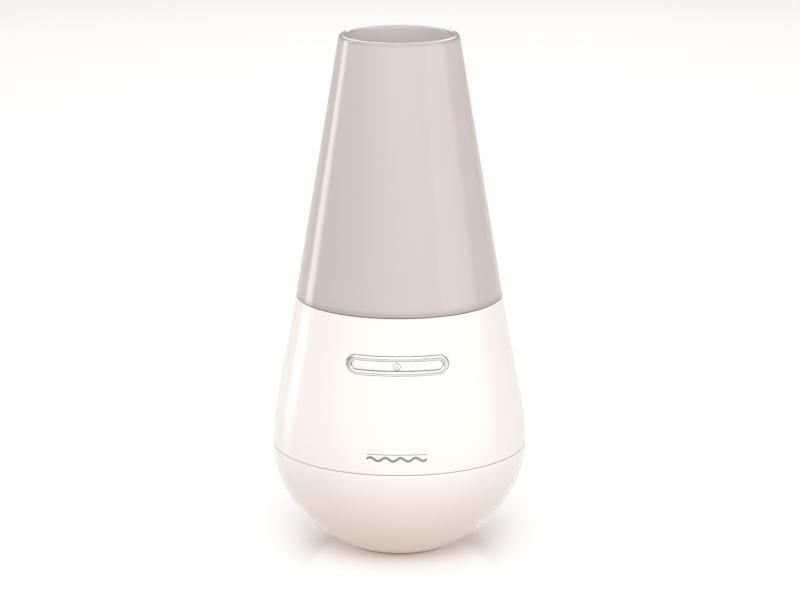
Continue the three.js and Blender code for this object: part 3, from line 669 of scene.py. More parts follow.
# ---- shade
def make_shade():
    """A tapered tube with a round lip at its mouth and a spigot that sits in the housing's rim."""
    spigot_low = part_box("mist_shade")[0].z
    seat = spigot_low + 3.4 * MM
    spigot_r = 43.9 * MM
    bore_r = 41.4 * MM
    step = UPPER_SEAM + 4.5 * MM
    lip = SHADE_WALL / 2
    neck = TOP - lip
    outline = [(bore_r, spigot_low), (spigot_r, spigot_low), (spigot_r, seat), (shade_radius(seat), seat)]
    for k in range(1, 24):
        z = seat + (neck - seat) * k / 24
        outline.append((shade_radius(z), z))
    middle = shade_radius(neck) - lip
    for k in range(13):
        turn = pi * k / 12
        outline.append((middle + lip * cos(turn), neck + lip * sin(turn)))
    for k in range(15, -1, -1):
        z = step + (neck - step) * k / 16
        outline.append((shade_radius(z) - SHADE_WALL, z))
    outline.append((bore_r, seat))
    last = len(outline) - 1
    corners = in_mm({0: 0.3, 1: 0.4, 2: 0.15, 3: 0.5, last - 1: 2, last: 1})
    return dress(lathe("shade_cone", rounded(outline, corners)), "frosted_shade", ["mist_shade"], "shade")


# ---- mist cover
def make_cover():
    """A hat: a skirt inside the basin, a brim on its flange and a crown with the mist's outlet."""
    low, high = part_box("mist_cover")
    rim = high.x
    skirt = 35.6 * MM
    bore = skirt - 1.2 * MM
    seat = 113.8 * MM
    outlet = 7 * MM
    outline = [
        (bore, low.z), (skirt, low.z), (skirt, seat), (rim, seat), (rim, seat + 1.3 * MM),
        (rim - 1 * MM, seat + 1.9 * MM), (17.2 * MM, 117.2 * MM), (13 * MM, high.z), (outlet, high.z),
        (outlet, high.z - 1.8 * MM), (11.8 * MM, high.z - 2.1 * MM), (15 * MM, 116.4 * MM),
        (bore, seat + 0.1 * MM),
    ]
    corners = {0: 0.4, 1: 0.4, 3: 0.3, 4: 0.8, 5: 0.8, 6: 2.2, 7: 2, 8: 0.7, 9: 0.4, 10: 1, 11: 1.5, 12: 0.6}
    dome = lathe("cover_dome", rounded(outline, in_mm(corners)))
    return dress(dome, "clear_white", ["mist_cover"], "cover")


# ---- upper housing
BEZEL_WIDTH = 45.3 * MM
BEZEL_HEIGHT = 8.4 * MM
BUTTON_WIDTH = 40.3 * MM
BUTTON_HEIGHT = 4 * MM


def widened(width, height, extra):
    return pill(width + 2 * extra, height + 2 * extra)


def make_upper_housing():
    """The shell, its flared button window, the chassis's bosses and the stakes of the button's board."""
    low = LOWER_SEAM + GAP / 2
    rim = 44.2 * MM
    ledge = 110.5 * MM
    ledge_r = 40.6 * MM
    outside = side(body_radius, low, UPPER_SEAM - 0.1 * MM, 40)
    inside = side(body_radius, low, 104.5 * MM, 24, WALL)[::-1]
    step = [
        (UPPER_R - 0.2 * MM, UPPER_SEAM), (rim, UPPER_SEAM), (rim, ledge), (ledge_r, ledge),
        (ledge_r, ledge - 1.6 * MM),
    ]
    count = len(outside)
    corners = in_mm({0: 0.25, count: 0.5, count + 1: 0.4, count + 3: 0.4, count + 4: 0.3})
    shell = lathe("housing_upper_shell", rounded(outside + step + inside, corners))
    layers = []
    for extra, height in ((0, -14), (0, -0.35), (0.04, -0.18), (0.14, -0.06), (0.3, 0.02), (1.2, 1)):
        layers.append((widened(BEZEL_WIDTH, BEZEL_HEIGHT, GAP * 0.3 + extra * MM), height * MM))
    combine(shell, loft("window", layers, at_button))
    join(shell, pegs(each(HOUSING_BOSSES, 3.4, BOSS_LOW, 66.3)))
    for x, y in HOUSING_BOSSES:
        place = upright(x * RIB_REACH, y * RIB_REACH, atan2(y, x))
        join(shell, block("rib", (6, 2, 12), BOSS_LOW, place))
    combine(shell, pegs(each(HOUSING_BOSSES, SCREW_HOLE_R, 53, 63.3)))
    for radius, low, high in ((2.4, -9, -1.2), (0.9, -11.3, -8), (1.9, -11.6, -10.8)):
        join(shell, pegs(each(STAKES, radius, low, high), 24, behind_button))
    return dress(shell, "gloss_white", ["upper_housing"])


# ---- lower housing
JACK_Z = 37 * MM
VENT_MIDDLE = 21 * MM
VENT_WIDTH = 2.2 * MM
VENT_HEIGHT = 12 * MM
VENT_TURNS = [radians(90 + 9 * k) for k in range(-3, 4)]
FOOT_TOP = 1.7 * MM


def make_lower_housing():
    """The bowl with its tongue, foot pocket, inlet hole, air slots and the bosses for the chassis."""
    rim = LOWER_SEAM - GAP / 2
    foot_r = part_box("base_foot")[1].x + GAP
    pocket = FOOT_TOP + GAP
    tongue = MAX_R - WALL - 0.4 * MM
    tongue_in = tongue - 1.5 * MM
    outside = side(bowl_radius, BOWL_LOW, rim, 46, 0, 1.5)
    inside = side(bowl_radius, 2.4 * MM, 44 * MM, 26, WALL, 1.5)[::-1]
    outline = [(foot_r, pocket), (foot_r, BOWL_LOW)] + outside
    outline += [(tongue, rim), (tongue, rim + 3 * MM), (tongue_in, rim + 3 * MM), (tongue_in, rim - 3 * MM)]
    outline += inside
    count = len(outside)
    corners = in_mm({1: 0.3, 2: 0.8, count + 1: 0.25, count + 3: 0.4, count + 4: 0.4})
    shell = lathe("housing_lower_shell", [(0, pocket)] + rounded(outline, corners) + [(0, pocket + WALL)])
    join(shell, turned_back("seat", band(0, 8.5, 50.1, 53.7), None, 48))
    for r, low, high in ((4.3, 45, 58), (6.3, 53.5, 62)):
        combine(shell, turned_back("hole", band(0, r, low, high)))
    for turn in VENT_TURNS:
        layers = []
        for extra, height in ((0, -9), (0, -0.6), (0.06, -0.3), (0.2, -0.05), (0.42, 0.15), (1.4, 1.2)):
            shape = [(y, VENT_MIDDLE + x) for x, y in widened(VENT_HEIGHT, VENT_WIDTH, extra * MM)]
            layers.append((shape, height * MM))
        combine(shell, loft("vent", layers, round_side(bowl_radius, turn)))
    join(shell, pegs(each(BASE_BOSSES, 5, 3.9, 7), 40))
    combine(shell, pegs(each(BASE_BOSSES, SCREW_HOLE_R, 1, 8)))
    combine(shell, pegs(each(BASE_BOSSES, 3.2, 1, 3.9), 40))
    return dress(shell, "gloss_white", ["lower_housing"])


def turned_back(name, points, corners=None, steps=64):
    """A piece turned about the power inlet's axis: its heights, in millimetres, run out along +Y."""
    piece = turned(name, points, corners, steps=steps)
    piece.data.transform(Matrix.Translation((0, 0, JACK_Z)) @ Matrix.Rotation(-pi / 2, 4, "X"))
    piece.data.update()
    return piece


def make_foot():
    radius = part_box("base_foot")[1].x
    profile = rounded(band(0, radius, 0, FOOT_TOP), in_mm({1: 0.6, 2: 0.3}))
    return dress(lathe("foot_pad", profile), "foot_rubber", ["base_foot"])


# ---- power inlet
def make_inlet():
    face, flange, bottom = 55.2, 53.8, 44.6
    barrel = [
        (0, 41), (4, 41), (4, flange), (5.6, flange), (5.6, face), (2.85, face), (2.85, bottom), (0, bottom),
    ]
    jack = turned_back("inlet_barrel", barrel, {1: 0.4, 4: 0.5, 5: 0.45}, 72)
    dress(jack, "black_plastic", ["dc_jack"])
    pin = turned_back("inlet_pin", band(0, 1, 44.9, 54), {2: 0.7}, 40)
    dress(pin, "steel", ["dc_jack_pin"])


# ---- button
def make_bezel():
    """A half-round chrome ring that follows the housing's curve."""
    section = [(0, -2.4), (0, -0.05)]
    for k in range(9):
        turn = pi * k / 8
        section.append((0.5 - 0.5 * cos(turn), -0.05 + 0.55 * sin(turn)))
    section += [(1, -2.4)]
    outer = widened(BEZEL_WIDTH, BEZEL_HEIGHT, 0)
    inner = widened(BUTTON_WIDTH, BUTTON_HEIGHT, GAP * 0.5)
    layers = []
    for share, height in section:
        shape = [(a[0] + (b[0] - a[0]) * share, a[1] + (b[1] - a[1]) * share) for a, b in zip(outer, inner)]
        layers.append((shape, height * MM))
    return dress(loft("button_ring", layers, at_button, ends=False), "chrome", ["button_bezel"])


def make_button():
    """The domed bar on its flange, a stem for the switch, and the power symbol printed on it."""
    flange = pill(BUTTON_WIDTH + 3 * MM, BUTTON_HEIGHT + 2.4 * MM)
    layers = [(flange, -3.7 * MM), (flange, -2.7 * MM)]
    for inset, height in (
        (0, -2.65), (0, -0.4), (0.05, -0.2), (0.2, -0.04), (0.45, 0.06), (0.85, 0.13), (1.35, 0.18),
        (1.9, 0.2),
    ):
        layers.append((widened(BUTTON_WIDTH, BUTTON_HEIGHT, -inset * MM), height * MM))
    bar = loft("button_cap", layers, at_button)
    join(bar, block("stem", (4, 3, 1.3), -4.4, behind_button))
    dress(bar, "gloss_white", ["power_button"], "button")
    stroke = ((0.15, 0.0), (0.15, 0.2), (-0.15, 0.2), (-0.15, 0.0))
    ring = [(circle(1.5 * MM + e * MM), h * MM) for e, h in stroke]
    symbol = loft("power_symbol_ring", ring, at_button, ends=False)
    dress(symbol, "gloss_white", (), "button", PALE_PRINT)
    upright_bar = [(y, x) for x, y in pill(1.6 * MM, 0.3 * MM, 6, 8)]
    layers = [(upright_bar, h * MM) for h in (0.1, 0.225)]
    dress(loft("power_symbol_bar", layers, at_button), "gloss_white", (), "button", PALE_PRINT)


def make_mark():
    """A plain print where makers put their name: a thin bar over a wave."""
    half = 13.4 * MM
    wave_z = 55.9 * MM
    waves = 4
    steps = 160
    bar = [(x, 58.0 * MM + y) for x, y in pill(2 * half, 0.3 * MM)]
    upper, lower = [], []
    for k in range(1, steps):
        x = -half + 2 * half * k / steps
        phase = TAU * waves * k / steps
        thick = 0.5 * MM * (1 + 0.25 * abs(cos(phase)))
        middle = wave_z + 0.75 * MM * sin(phase)
        upper.append((x, middle + thick))
        lower.append((x, middle - thick))
    wave = [(-half, wave_z)] + lower + [(half, wave_z)] + upper[::-1]
    for name, shape in (("mark_bar", bar), ("mark_wave", wave)):
        layers = [(shape, h * MM) for h in (-0.05, 0.03)]
        piece = loft(name, layers, round_side(body_radius, -pi / 2))
        dress(piece, "gloss_white", material=PRINT)


# ---- water basin
def make_basin():
    """The vessel with its bosses below, the air tower through it, and the fill line round its inside."""
    low, top, flange, hole = 76, 113.5, 111.9, 8.4
    floor_top = 78.5
    outline = [
        (hole, low), (35.3, low), (38.3, flange), (43.5, flange), (43.5, top), (36.5, top), (33.5, floor_top),
        (hole, floor_top),
    ]
    corners = {0: 0.3, 1: 1.8, 2: 0.6, 3: 0.4, 4: 0.5, 5: 0.7, 6: 2, 7: 0.8}
    vessel = turned("basin_vessel", outline, corners, steps=ROUND, curve=8)
    low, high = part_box("air_tower")
    centre = (0, (low.y + high.y) / 2)
    tower_r = 6.8 * MM
    hole = tower_r + GAP
    combine(vessel, lathe("plug", band(0, hole, 70 * MM, 80 * MM), 64, centre))
    join(vessel, pegs(each(CLAMP_BOSSES, 2.8, 71.6, 77) + each(LED_POSTS, 2.6, 74.1, 77)))
    combine(vessel, pegs(each(CLAMP_BOSSES, 1.3, 71, 76.2) + each(LED_POSTS, 1.3, 73, 77.2), 24))
    dress(vessel, "clear_white", ["tank_basin"])
    bore = 5.2 * MM
    collar_r = tower_r + 1 * MM
    seat = floor_top * MM + GAP
    tube_outline = [
        (bore, low.z), (tower_r, low.z), (tower_r, seat), (collar_r, seat), (collar_r, seat + 1 * MM),
        (tower_r, seat + 1 * MM), (tower_r, high.z), (bore, high.z),
    ]
    corners = in_mm({0: 0.2, 1: 0.4, 4: 0.4, 5: 0.6, 6: 0.7, 7: 0.7})
    dress(lathe("tower_tube", rounded(tube_outline, corners), 72, centre), "clear_white", ["air_tower"])
    level = 101 * MM
    wall = 35.44 * MM
    near, far = wall - 0.35 * MM, wall + 0.1 * MM
    under, over = level - 0.4 * MM, level + 0.4 * MM
    line = rounded(band(near, far, under, over), in_mm({0: 0.2, 3: 0.2}))
    dress(lathe("basin_fill_line", line), "clear_white")


def make_disc():
    low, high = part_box("transducer_disc")
    profile = rounded(band(0, high.x, low.z, high.z), in_mm({1: 0.2, 2: 0.2}))
    dress(lathe("disc_plate", profile, 96), "steel", ["transducer_disc"])


# ---- screws
def make_screw(node, shank, head_height, head_up=False):
    """A pan-head screw with a cross recess and a ringed thread, where its CAD node stands."""
    low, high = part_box(node)
    x, y = (low.x + high.x) / 2 / MM, (low.y + high.y) / 2 / MM
    head = (high.x - low.x) / 2 / MM
    length = (high.z - low.z) / MM
    profile = [
        (0, 0), (head * 0.7, 0), (head * 0.93, head_height * 0.3), (head, head_height * 0.75),
        (head, head_height), (shank * 0.85, head_height),
    ]
    depth = head_height + 0.5
    while depth < length - shank * 1.5:
        profile += [(shank * 0.78, depth), (shank, depth + 0.35)]
        depth += 0.7
    profile += [(shank * 0.8, length - shank * 1.2), (0, length)]
    if head_up:
        profile = [(r, high.z / MM - z) for r, z in profile]
    else:
        profile = [(r, low.z / MM + z) for r, z in profile]
    screw = turned(f"{node}_body", profile, None, (x, y), 28)
    reach, arm = head * 0.55, head * 0.12
    cross = [(-reach, -arm), (-arm, -arm), (-arm, -reach), (arm, -reach), (arm, -arm), (reach, -arm)]
    cross += [(-cx, -cy) for cx, cy in cross]
    point = [(cx * 0.4, cy * 0.4) for cx, cy in cross]
    face = profile[0][1]
    inward = -1 if head_up else 1
    recess = [(cross, face - inward), (cross, face), (point, face + inward * head_height * 0.6)]
    if head_up:
        recess.reverse()
    combine(screw, prism("recess", recess, upright(x, y, 0.4)))
    return dress(screw, "steel", [node])


def make_screws():
    for family, count, shank, head_height in (
        ("base_screw", 3, 1.25, 1.4), ("housing_screw", 3, 1.25, 1.6), ("board_screw", 3, 1.1, 1.4),
        ("transducer_screw", 3, 1.0, 1.4), ("led_board_screw", 2, 1.0, 1.4), ("fan_screw", 2, 1.25, 1.6),
    ):
        for number in range(1, count + 1):
            make_screw(f"{family}_{number}", shank, head_height, family == "fan_screw")


# ---- chassis and fan
def make_chassis():
    """A disc with legs to the base, posts for the main board and bosses for the fan."""
    plate = turned("chassis_plate", band(0, 52.6, 52, 54), {1: 0.5, 2: 0.5}, steps=120)
    legs = each(BASE_BOSSES, 3.6, 7.3, 53)
    posts = each(BOARD_POSTS, 3, 33, 53)
    bosses = each(FAN_SCREWS, 3, 46, 53)
    for group in (legs, posts, bosses):
        join(plate, pegs(group))
    holes = each(BASE_BOSSES, SCREW_HOLE_R, 6, 18) + each(BOARD_POSTS, BOARD_HOLE_R, 30, 42)
    holes += each(HOUSING_BOSSES, SCREW_HOLE_R, 51, 55) + each(FAN_SCREWS, SCREW_HOLE_R, 45, 55)
    combine(plate, pegs(holes + [(18.6, 51, 55, 0, FAN_Y), (4.5, 51, 55, 0, -2)], 48))
    combine(plate, block("notch", (9, 10, 8), 49, upright(0, -50), 1))
    combine(plate, block("notch", (5, 5, 8), 49, upright(24, FAN_Y - 8), 1))
    dress(plate, "black_plastic", ["chassis"])


def make_fan():
    """The frame with its struts, hub and stator, and the rotor on its shaft."""
    layers = []
    for width, corner, h in (
        (39.6, 3, 54.3), (40, 3, 54.5), (40, 3, 56.2), (38.6, 15, 56.6), (38.6, 15, 62), (40, 3, 62.4),
        (40, 3, 64.1), (39.6, 3, 64.3),
    ):
        layers.append((slab(width, width, corner, 8), h))
    body = prism("fan_housing", layers, upright(*FAN_MIDDLE))
    corners = [(x, y + FAN_Y) for x in (-16, 16) for y in (-16, 16)]
    combine(body, pegs(each(corners, 1.7, 53, 66) + each([FAN_MIDDLE], 18.6, 53, 66), 64))
    for k in range(3):
        turn = TAU * k / 3 + 0.6
        strut = block("strut", (12, 2, 1.4), 54.3, round_fan(13.4, turn), 0.4)
        join(body, strut)
    hub = [(0, 54.3), (9.6, 54.3), (9.6, 55.7), (4.2, 55.7), (4.2, 60.5), (0, 60.5)]
    join(body, turned("hub", hub, {2: 0.4}, FAN_MIDDLE))
    combine(body, pegs(each([FAN_MIDDLE], 2.9, 55.3, 66)))
    dress(body, "black_plastic", ["fan_frame"])

    cup = [(9, 56.2), (10.2, 56.2), (10.2, 63.9), (0, 63.9), (0, 62.3), (9, 62.3)]
    rotor = turned("fan_hub", cup, {0: 0.3, 2: 0.9}, FAN_MIDDLE)
    for k in range(7):
        join(rotor, fan_blade(TAU * k / 7))
    combine(rotor, pegs(each([FAN_MIDDLE], 1.3, 60.9, 63.4)))
    dress(rotor, "black_plastic", ["fan_rotor"], "rotor")
    yoke = turned("stator_core", band(4.5, 6, 56, 60.4), {1: 0.3, 2: 0.3}, FAN_MIDDLE)
    for k in range(4):
        join(yoke, block("pole", (3.4, 3, 3.8), 56.3, round_fan(6.6, pi / 2 * k), 0.9, 0.5))
    dress(yoke, "copper", ["fan_stator"])
    sleeve = turned("fan_bush", band(1.3, 2.6, 55.6, 60.2), {0: 0.2, 1: 0.3, 2: 0.3, 3: 0.2}, FAN_MIDDLE)
    dress(sleeve, "brass", ["fan_bearing"])
    axle = turned("fan_axle", band(0, 1, 56, 63.1), {1: 0.3, 2: 0.3}, FAN_MIDDLE, 32)
    dress(axle, "steel", ["fan_shaft"], "rotor")


def round_fan(radius, turn):
    """A place function for a piece that points out from the fan's axis."""
    return upright(radius * cos(turn), FAN_Y + radius * sin(turn), turn)


def fan_blade(turn):
    """One blade, steep at the hub and flatter at its tip."""
    outward = Vector((cos(turn), sin(turn), 0))
    across = Vector((-sin(turn), cos(turn), 0))
    root = 9.6

    def place(x, y, reach):
        pitch = radians(50 - 1.8 * (reach / MM - root))
        along = x * cos(pitch) - y * sin(pitch)
        rise = x * sin(pitch) + y * cos(pitch)
        return Vector((0, FAN_Y * MM, 60.05 * MM + rise)) + outward * reach + across * along

    outline = [(x / MM, y / MM) for x, y in pill(6.4 * MM, 0.8 * MM, 6, 8)]
    return prism("blade", [(outline, root + 0.8 * k) for k in range(11)], place)


def make_duct():
    flange = block("duct_body", (40, 40, 1.6), 64.6, upright(*FAN_MIDDLE), 3, 0.2)
    combine(flange, pegs(each([FAN_MIDDLE], 18.2, 63, 68) + each(FAN_SCREWS, SCREW_HOLE_R, 63, 68), 64))
    funnel = [
        (18, 64.6), (19.2, 64.6), (18.6, 66.6), (8.4, 69), (8.4, 75.6), (7.2, 75.6), (7.2, 68.2), (17.2, 66),
    ]
    join(flange, turned("funnel", funnel, {2: 1.2, 3: 1.2, 4: 0.3, 6: 1.2, 7: 1.2}, FAN_MIDDLE))
    dress(flange, "nylon", ["fan_duct"])


# ---- under the basin
def make_transducer_parts():
    """The two rubber rings, and the cup that clamps the disc up against its own."""
    rim = turned("rim_gasket", band(40.8, 43.4, 110.8, 111.6), {k: 0.3 for k in range(4)}, steps=120)
    dress(rim, "silicone", ["basin_seal"])
    seal = band(8.7, 12.6, 71.6, 75.7) + [(8.7, 74.4), (10.5, 74.4), (10.5, 72.9), (8.7, 72.9)]
    dress(turned("disc_gasket", seal, {0: 0.4, 1: 0.6, 2: 0.6, 3: 0.4}), "silicone", ["transducer_seal"])
    low, floor = 69.4, 71.3
    outline = [(6, low), (14.3, low), (14.3, 74.5), (12.9, 74.5), (12.9, floor), (6, floor)]
    cup = turned("disc_clamp", outline, {1: 0.6, 2: 0.4, 3: 0.3})
    for x, y in CLAMP_BOSSES:
        turn = atan2(y, x)
        place = upright(15 * cos(turn), 15 * sin(turn), turn)
        join(cup, block("web", (5, 4, 1.9), low, place, 0.3))
    join(cup, pegs(each(CLAMP_BOSSES, 3.4, low, floor)))
    combine(cup, pegs(each(CLAMP_BOSSES, SMALL_HOLE_R, 68, 72)))
    dress(cup, "nylon", ["transducer_clamp"])


def make_led_board():
    """A ring of board cut open for the air tower's duct, with four lamps on it."""
    board = turned("led_board_plate", band(21.5, 32.5, 72.6, 73.8), {1: 0.15, 2: 0.15}, steps=120)
    combine(board, pegs(each([FAN_MIDDLE], 11, 71, 75) + each(LED_POSTS, SMALL_HOLE_R, 71, 75), 64))
    combine(board, block("gap", (22, 12, 4), 71, upright(0, 32)))
    dress(board, "circuit_board", ["led_board"])
    for number in range(1, 5):
        low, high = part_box(f"led_{number}")
        x, y = (low.x + high.x) / 2 / MM, (low.y + high.y) / 2 / MM
        face = high.z / MM - 0.4
        body = block(f"lamp_body_{number}", (5, 5, 1.4), low.z / MM, upright(x, y), 0.4)
        combine(body, pegs([(1.95, face, high.z / MM + 1, x, y)], 40))
        dress(body, "lamp", [f"led_{number}"], material=FINISHES["nylon"])
        lens = [(0, face), (1.9, face), (1.7, face + 0.22), (1.1, face + 0.35), (0, face + 0.38)]
        dress(turned(f"lamp_lens_{number}", lens, {1: 0.1}, (x, y), 32), "lamp")


# ---- main board
BOARD_TOP = 33.0
COIL_PLACE = (-24, -14)
CAN_PLACE = (-24, 14)


def make_main_board():
    """The round board and the parts that stand on it."""
    board = turned("board_plate", band(0, 42, 31.1, 32.7), {1: 0.2, 2: 0.2}, steps=120)
    holes = each(BASE_BOSSES, 4.2, 30, 34) + each(BOARD_POSTS, BOARD_HOLE_R, 30, 34)
    dress(combine(board, pegs(holes, 40)), "circuit_board", ["main_board"])
    make_driver()
    spool = [(0, 33), (6.3, 33), (6.3, 34.6), (4, 34.9), (4, 40.1), (6.3, 40.4), (6.3, 42), (0, 42)]
    drum = turned("coil_spool", spool, {1: 0.3, 2: 0.3, 5: 0.3, 6: 0.5}, COIL_PLACE)
    dress(drum, "copper", ["drum_coil"], material=FINISHES["black_plastic"])
    wound = [(4.15, 35.1)]
    for k in range(9):
        wound += [(5.2, 35.15 + 0.53 * k), (5.45, 35.4 + 0.53 * k)]
    wound += [(5.2, 39.9), (4.15, 39.9)]
    dress(turned("coil_winding", wound, None, COIL_PLACE), "copper")
    can = [
        (0, 33), (3.6, 33), (3.9, 33.4), (3.9, 34.6), (3.6, 35), (3.9, 35.4), (3.9, 44.4), (3.4, 44.8),
        (3.1, 44.6), (0, 44.6),
    ]
    can = turned("capacitor_can", can, {2: 0.2, 4: 0.4, 6: 0.4}, CAN_PLACE)
    for turn in (0.5, 2.07):
        combine(can, block("score", (4.4, 0.3, 1), 44.4, upright(*CAN_PLACE, turn), 0.1, 0.05))
    dress(can, "black_plastic", ["capacitor"])
    for name, y in (("dc_socket", 27), ("transducer_socket", -2)):
        shell = block(f"{name}_shell", (7, 5.6, 6), BOARD_TOP, upright(0, y), 0.4)
        combine(shell, block("cavity", (5.4, 4, 6), BOARD_TOP + 1.6, upright(0, y), 0.4))
        dress(shell, "nylon", [name])
    package = block("board_chip", (6, 5, 1.5), BOARD_TOP, upright(-6, -18), 0.2, 0.2)
    dress(package, "black_plastic")


def make_driver():
    """A finned sink with its screw hole, and the transistor that stands in front of it on three legs."""
    fins = [(-10, -1), (10, -1), (10, 1)]
    for x in (8, 4, 0, -4, -8):
        fins += [(x + 0.6, 1), (x + 0.5, 7.5), (x - 0.5, 7.5), (x - 0.6, 1)]
    fins += [(-10, 1)]
    sink_x, sink_y, front_y = 24, -16, -19.4

    def through_sink(x, y, height):
        return Vector((sink_x * MM + x, sink_y * MM + height * 0.24, y))

    sink = prism("sink_fins", [(fins, BOARD_TOP), (fins, BOARD_TOP + 14)], upright(sink_x, sink_y))
    combine(sink, pegs([(1.6, -4, 4, 0, BOARD_TOP + 9.5)], place=through_sink))
    dress(sink, "aluminium", ["heat_sink"])
    chip = block("transistor_case", (10, 3.6, 8.6), BOARD_TOP + 3.4, upright(sink_x, front_y), 0.3, 0.4)
    dress(chip, "black_plastic", ["driver_transistor"])
    for number, x in enumerate((21.5, 24, 26.5), 1):
        leg = block(f"transistor_leg_{number}", (0.8, 0.5, 3.3), BOARD_TOP, upright(x, front_y), 0.1, 0.05)
        dress(leg, "black_plastic", material=FINISHES["steel"])


def make_jack_nut():
    corner_r = 6.3
    turns = [TAU * (k + 0.5) / 6 for k in range(6)]
    outline = [(corner_r * cos(a), corner_r * sin(a)) for a in turns]
    trimmed = [(x * 0.94, y * 0.94) for x, y in outline]

    def on_inlet(x, y, height):
        return Vector((x, height, JACK_Z + y))

    nut = prism("inlet_nut", [(trimmed, 48.1), (outline, 48.4), (outline, 49.5), (trimmed, 49.8)], on_inlet)
    combine(nut, pegs([(4.25, 47, 51, 0, 0)], 48, on_inlet))
    dress(nut, "steel", ["dc_jack_nut"])


# ---- behind the button
def make_switch():
    """The button's board, the switch on it with its pin, and the two return springs."""
    def lowered(x, y, height):
        return behind_button(x, y - 3 * MM, height)

    board = block("switch_board", (28, 15, 1.2), -10.5, lowered, 0.8)
    combine(board, pegs(each(STAKES, 1.2, -12, -8), 24, behind_button))
    dress(board, "circuit_board", ["button_board"])
    body = block("switch_case", (6, 6, 3.35), -9.0, behind_button, 0.5)
    combine(body, pegs([(1.9, -6.95, -5, 0, 0)], 32, behind_button))
    dress(body, "black_plastic", ["switch_body"])
    layers = []
    for inset, height in ((0.2, -6.25), (0, -6.05), (0, -5.3), (0.2, -5.1)):
        layers.append((slab(3 - 2 * inset, 3 - 2 * inset, 1.49 - inset), height))
    dress(prism("switch_pin", layers, behind_button), "nylon", ["switch_plunger"], "plunger")
    for side_name, x in (("left", -10.5), ("right", 10.5)):
        node = f"button_spring_{side_name}"
        low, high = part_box(node)
        wire_r = 0.17 * MM
        coil_r = 1.3 * MM
        near, far = low.y + 0.18 * MM, high.y - 0.18 * MM
        path = []
        for k in range(97):
            a = TAU * 3.5 * k / 96
            share = min(max((k - 12) / 72, 0), 1)
            y = near + (far - near) * share
            path.append(Vector((x * MM + coil_r * cos(a), y, BUTTON_Z + coil_r * sin(a))))
        spring = dress(tube(f"{node}_coil", path, wire_r, 8), "steel", [node])
        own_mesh(spring)


# ---- leads
ROUTES = {
    "dc_lead": (1.1, ((0, 40.6, 37), (0, 37, 38.2), (0, 31, 43.5), (0, 27.2, 42.5), (0, 27, 34.9))),
    "transducer_lead": (1.0, ((0, 0, 72.7), (0, -1, 66), (0, -2, 58), (0, -2, 50), (0, -2, 34.9))),
    "button_lead": (1.0, (
        (0, -38.8, 89), (0, -38.8, 84), (0, -41.5, 78), (0, -46.5, 68), (0, -49, 58), (2, -48.6, 49),
        (10, -41, 44.5), (14, -29, 44), (14, -26, BOARD_TOP),
    )),
    "fan_lead": (0.9, ((21.4, 16, 60), (23.4, 16, 58.5), (24, 16, 54), (24, 15, 44), (24, 14, BOARD_TOP))),
}


def make_leads():
    """Each lead is a twisted pair, one wire red and one black."""
    red = moulded("wire_red", (0.36, 0.03, 0.025), 0.42, grain=0.01 * MM, vary=0.1)
    for node, (radius, places) in ROUTES.items():
        path = smooth(places)
        for number, (colour, material) in enumerate((("black", None), ("red", red))):
            wire = []
            for k, (point, (side, up)) in enumerate(zip(path, frames(path))):
                turn = pi * number + 0.5 * k
                wire.append(point + (side * cos(turn) + up * sin(turn)) * (radius * 0.5 * MM))
            piece = tube(f"{node}_{colour}", wire, radius * 0.45 * MM)
            dress(piece, "black_plastic", [] if number else [node], material=material)


# ---- studio
TABLE_GLOW = (1.0, 0.81, 0.72)
LOW_SKY = 0.25  # heights in the world where its bands begin and end
MIDDLE_SKY, HIGH_SKY = 0.45, 0.7


def area_light(name, place, aim, size, power, colour=(1, 1, 1)):
    data = bpy.data.lights.new(name, "AREA")
    data.shape = "RECTANGLE"
    data.size, data.size_y = size
    data.energy = power
    data.color = colour
    light = new_object(name, data)
    light.location = place
    light.rotation_euler = (Vector(aim) - Vector(place)).to_track_quat("-Z", "Y").to_euler()


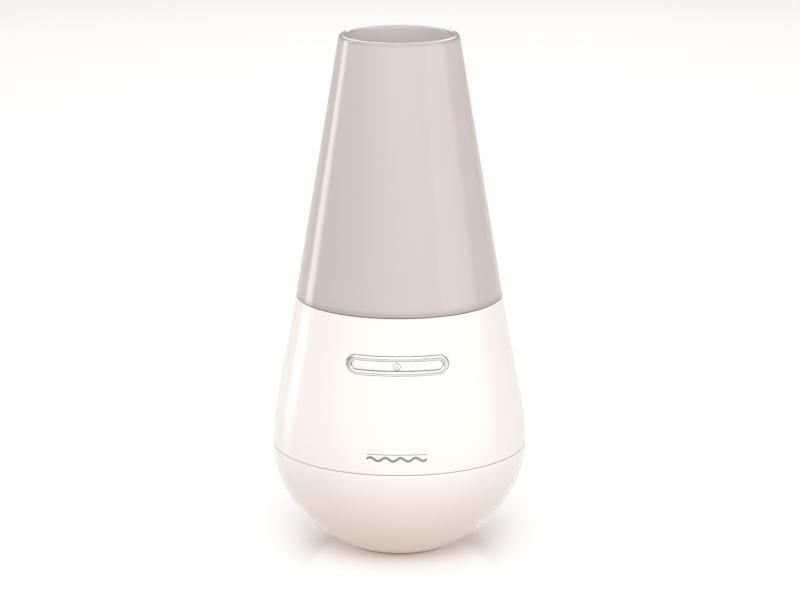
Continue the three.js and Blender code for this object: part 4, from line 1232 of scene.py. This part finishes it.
def make_world():
    """Soft light all round: from above, from the front, and warm from the table below."""
    world = bpy.data.worlds.new("studio")
    bpy.context.scene.world = world
    world.use_nodes = True
    tree = world.node_tree
    place = add(tree, "TexCoord")
    parts = add(tree, "SeparateXYZ")
    link(tree, place.outputs["Generated"], parts.inputs["Vector"])
    height = parts.outputs["Z"]
    below = times(tree, TABLE_GLOW, spread(tree, height, 0.78, 0, 0, LOW_SKY))
    above = times(tree, (1, 1, 1), spread(tree, height, 0, 1.36, MIDDLE_SKY, HIGH_SKY))
    band = spread(tree, height, 1, 0, MIDDLE_SKY, HIGH_SKY)
    rising = spread(tree, height, 0, 1, 0, LOW_SKY)
    front = spread(tree, parts.outputs["Y"], 1.4, 0, -1, 0)
    ahead = times(tree, times(tree, times(tree, (1, 1, 1), front), band), rising)
    total = plus(tree, plus(tree, below, above), ahead)
    link(tree, total, tree.nodes["Background"].inputs["Color"])


def make_studio():
    make_world()
    middle = (0, 0, 0.12)
    area_light("front_box", (0, -1.3, 1.2), middle, (0.8, 0.6), 8.5)
    area_light("left_front_box", (-0.95, -1.0, 1.0), middle, (0.6, 0.6), 3.0)
    area_light("right_front_box", (0.95, -1.0, 1.0), middle, (0.6, 0.6), 1.2)
    area_light("right_wall", (1.0, -0.35, 0.65), (0, 0, 0.65), (0.9, 1.3), 3.6)
    area_light("left_strip", (-0.81, 0.40, 0.45), (0, 0, 0.45), (0.22, 0.9), 1.9)
    area_light("back_box", (0, 1.6, 1.2), middle, (1.4, 0.8), 13)
    bm = bmesh.new()
    corners = [bm.verts.new((x, y, 0)) for x, y in ((-8, -6), (8, -6), (8, 12), (-8, 12))]
    bm.faces.new(corners)
    floor = new_piece("studio_floor", bm)
    material, tree, shader = new_material("studio_floor", (0.89, 0.888, 0.886), 0.12)
    values(shader, Specular_IOR_Level=0.3)
    link(tree, spread(tree, noise(tree, 3, 2.0), 0.11, 0.13), shader.inputs["Roughness"])
    floor.data.materials.append(material)
    floor.visible_diffuse = False
    scene = bpy.context.scene
    scene.view_settings.view_transform = "Standard"
    scene.view_settings.look = "None"


for make in (
    make_shade, make_cover, make_upper_housing, make_lower_housing, make_foot, make_inlet, make_bezel,
    make_button, make_mark, make_basin, make_disc, make_screws, make_chassis, make_fan, make_duct,
    make_transducer_parts, make_led_board, make_main_board, make_jack_nut, make_switch, make_leads,
    make_studio,
):
    make()
